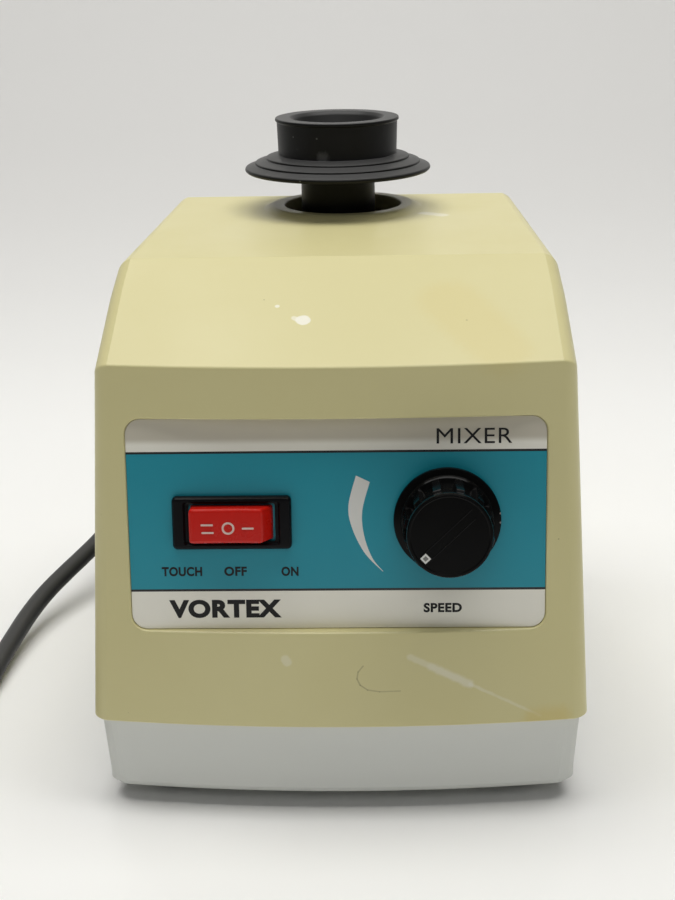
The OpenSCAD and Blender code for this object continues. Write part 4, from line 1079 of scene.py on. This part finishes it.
smoother = makeSmoother()
for entry in frame["record"]["materials"]:
    for nodeName in entry.get("nodes", []):
        node = frame["nodes"][nodeName]
        if node.hide_render:
            continue
        if entry["slot"] == "cord_rubber":
            finish = cordRubber
        elif entry["slot"] == "black_plastic":
            finish = blackPlastic
        else:
            finish = finished.get(bySlot.get(entry["slot"]), finished["zincSteel"])
        node.data.materials.clear()
        node.data.materials.append(finish)
        modifier = node.modifiers.new("smooth", "NODES")
        modifier.node_group = smoother
print("stage: CAD nodes finished")

# stage and light
# backdropShade is a painted shade colour for the far floor and the backdrop
stageValues = {"floor": (0.95, 0.95, 0.93), "backdropShade": (0.74, 0.735, 0.72), "wallY": 0.95, "bend": 0.68,
               "width": 2.5, "front": -0.9, "high": 1.4, "shadeFrom": 0.22, "shadeTo": 0.62}


def buildStage(v):
    profile = [(v["front"], 0.0), (-0.6, 0.0), (v["wallY"] - v["bend"], 0.0)]
    bendSteps = 12
    for k in range(1, bendSteps + 1):
        a = math.pi / 2 * k / bendSteps
        profile.append((v["wallY"] - v["bend"] + v["bend"] * math.sin(a), v["bend"] * (1 - math.cos(a))))
    profile.append((v["wallY"], v["high"]))
    verts = [(x, y, z) for y, z in profile for x in (-v["width"], v["width"])]
    faces = [(2 * i, 2 * i + 1, 2 * i + 3, 2 * i + 2) for i in range(len(profile) - 1)]
    mesh = bpy.data.meshes.new("paleStage")
    mesh.from_pydata(verts, [], faces)
    mesh.shade_smooth()
    floor = bpy.data.objects.new("paleStage", mesh)
    scene.collection.objects.link(floor)
    material, tree, shader, place = newMaterial("paleFloor")
    along = addNode(tree, "ShaderNodeSeparateXYZ", {0: place})
    # painted shade: the floor and backdrop darken towards the back, standing in for light falling off away
    # from the lamps
    back = mapRange(tree, along.outputs[1], v["shadeFrom"], v["shadeTo"], smooth=True)
    card = useGroup(tree, mottleGroup, {"Vector": place, "Colour": (*v["floor"], 1),
                                        "Second": tuple(c * 0.985 for c in v["floor"]) + (1,), "Scale": 3.0})
    tree.links.new(mixColour(tree, back, card.outputs["Colour"], v["backdropShade"]), shader.inputs["Base Color"])
    shader.inputs["Roughness"].default_value = 0.6
    shader.inputs["Specular IOR Level"].default_value = 0.25
    mesh.materials.append(material)


buildStage(stageValues)
lightValues = {                                  # place, aim, width, height, watts, colour
    "overhead": ((0.0, 0.0, 1.3), (0.0, 0.0, 0.0), 1.6, 0.7, 16.6, (1.0, 0.99, 0.97)),
    "frontFill": ((0.1, -1.0, 0.9), (0.0, 0.0, 0.1), 0.8, 0.5, 1.5, (1.0, 1.0, 1.0)),
    "leftSheen": ((-0.25, 0.53, 1.17), (-0.049, -0.04, 0.129), 0.16, 0.3, 0.7, (1.0, 1.0, 1.0)),
    "rightSheen": ((0.18, 0.53, 1.18), (0.051, -0.04, 0.129), 0.05, 0.3, 0.25, (1.0, 1.0, 1.0)),
}
for lightName, (place, aim, width, height, watts, colour) in lightValues.items():
    lamp = bpy.data.lights.new(lightName, "AREA")
    lamp.shape = "RECTANGLE"
    lamp.size, lamp.size_y, lamp.energy, lamp.color = width, height, watts, colour
    holder = bpy.data.objects.new(lightName, lamp)
    holder.location = place
    holder.rotation_mode = "QUATERNION"
    holder.rotation_quaternion = (Vector(aim) - Vector(place)).to_track_quat("-Z", "Y")
    scene.collection.objects.link(holder)
world = bpy.data.worlds.new("world")
world.use_nodes = True
world.node_tree.nodes["Background"].inputs["Color"].default_value = (0.97, 0.985, 1.0, 1)
world.node_tree.nodes["Background"].inputs["Strength"].default_value = 0.06
scene.world = world

print("stage: done")
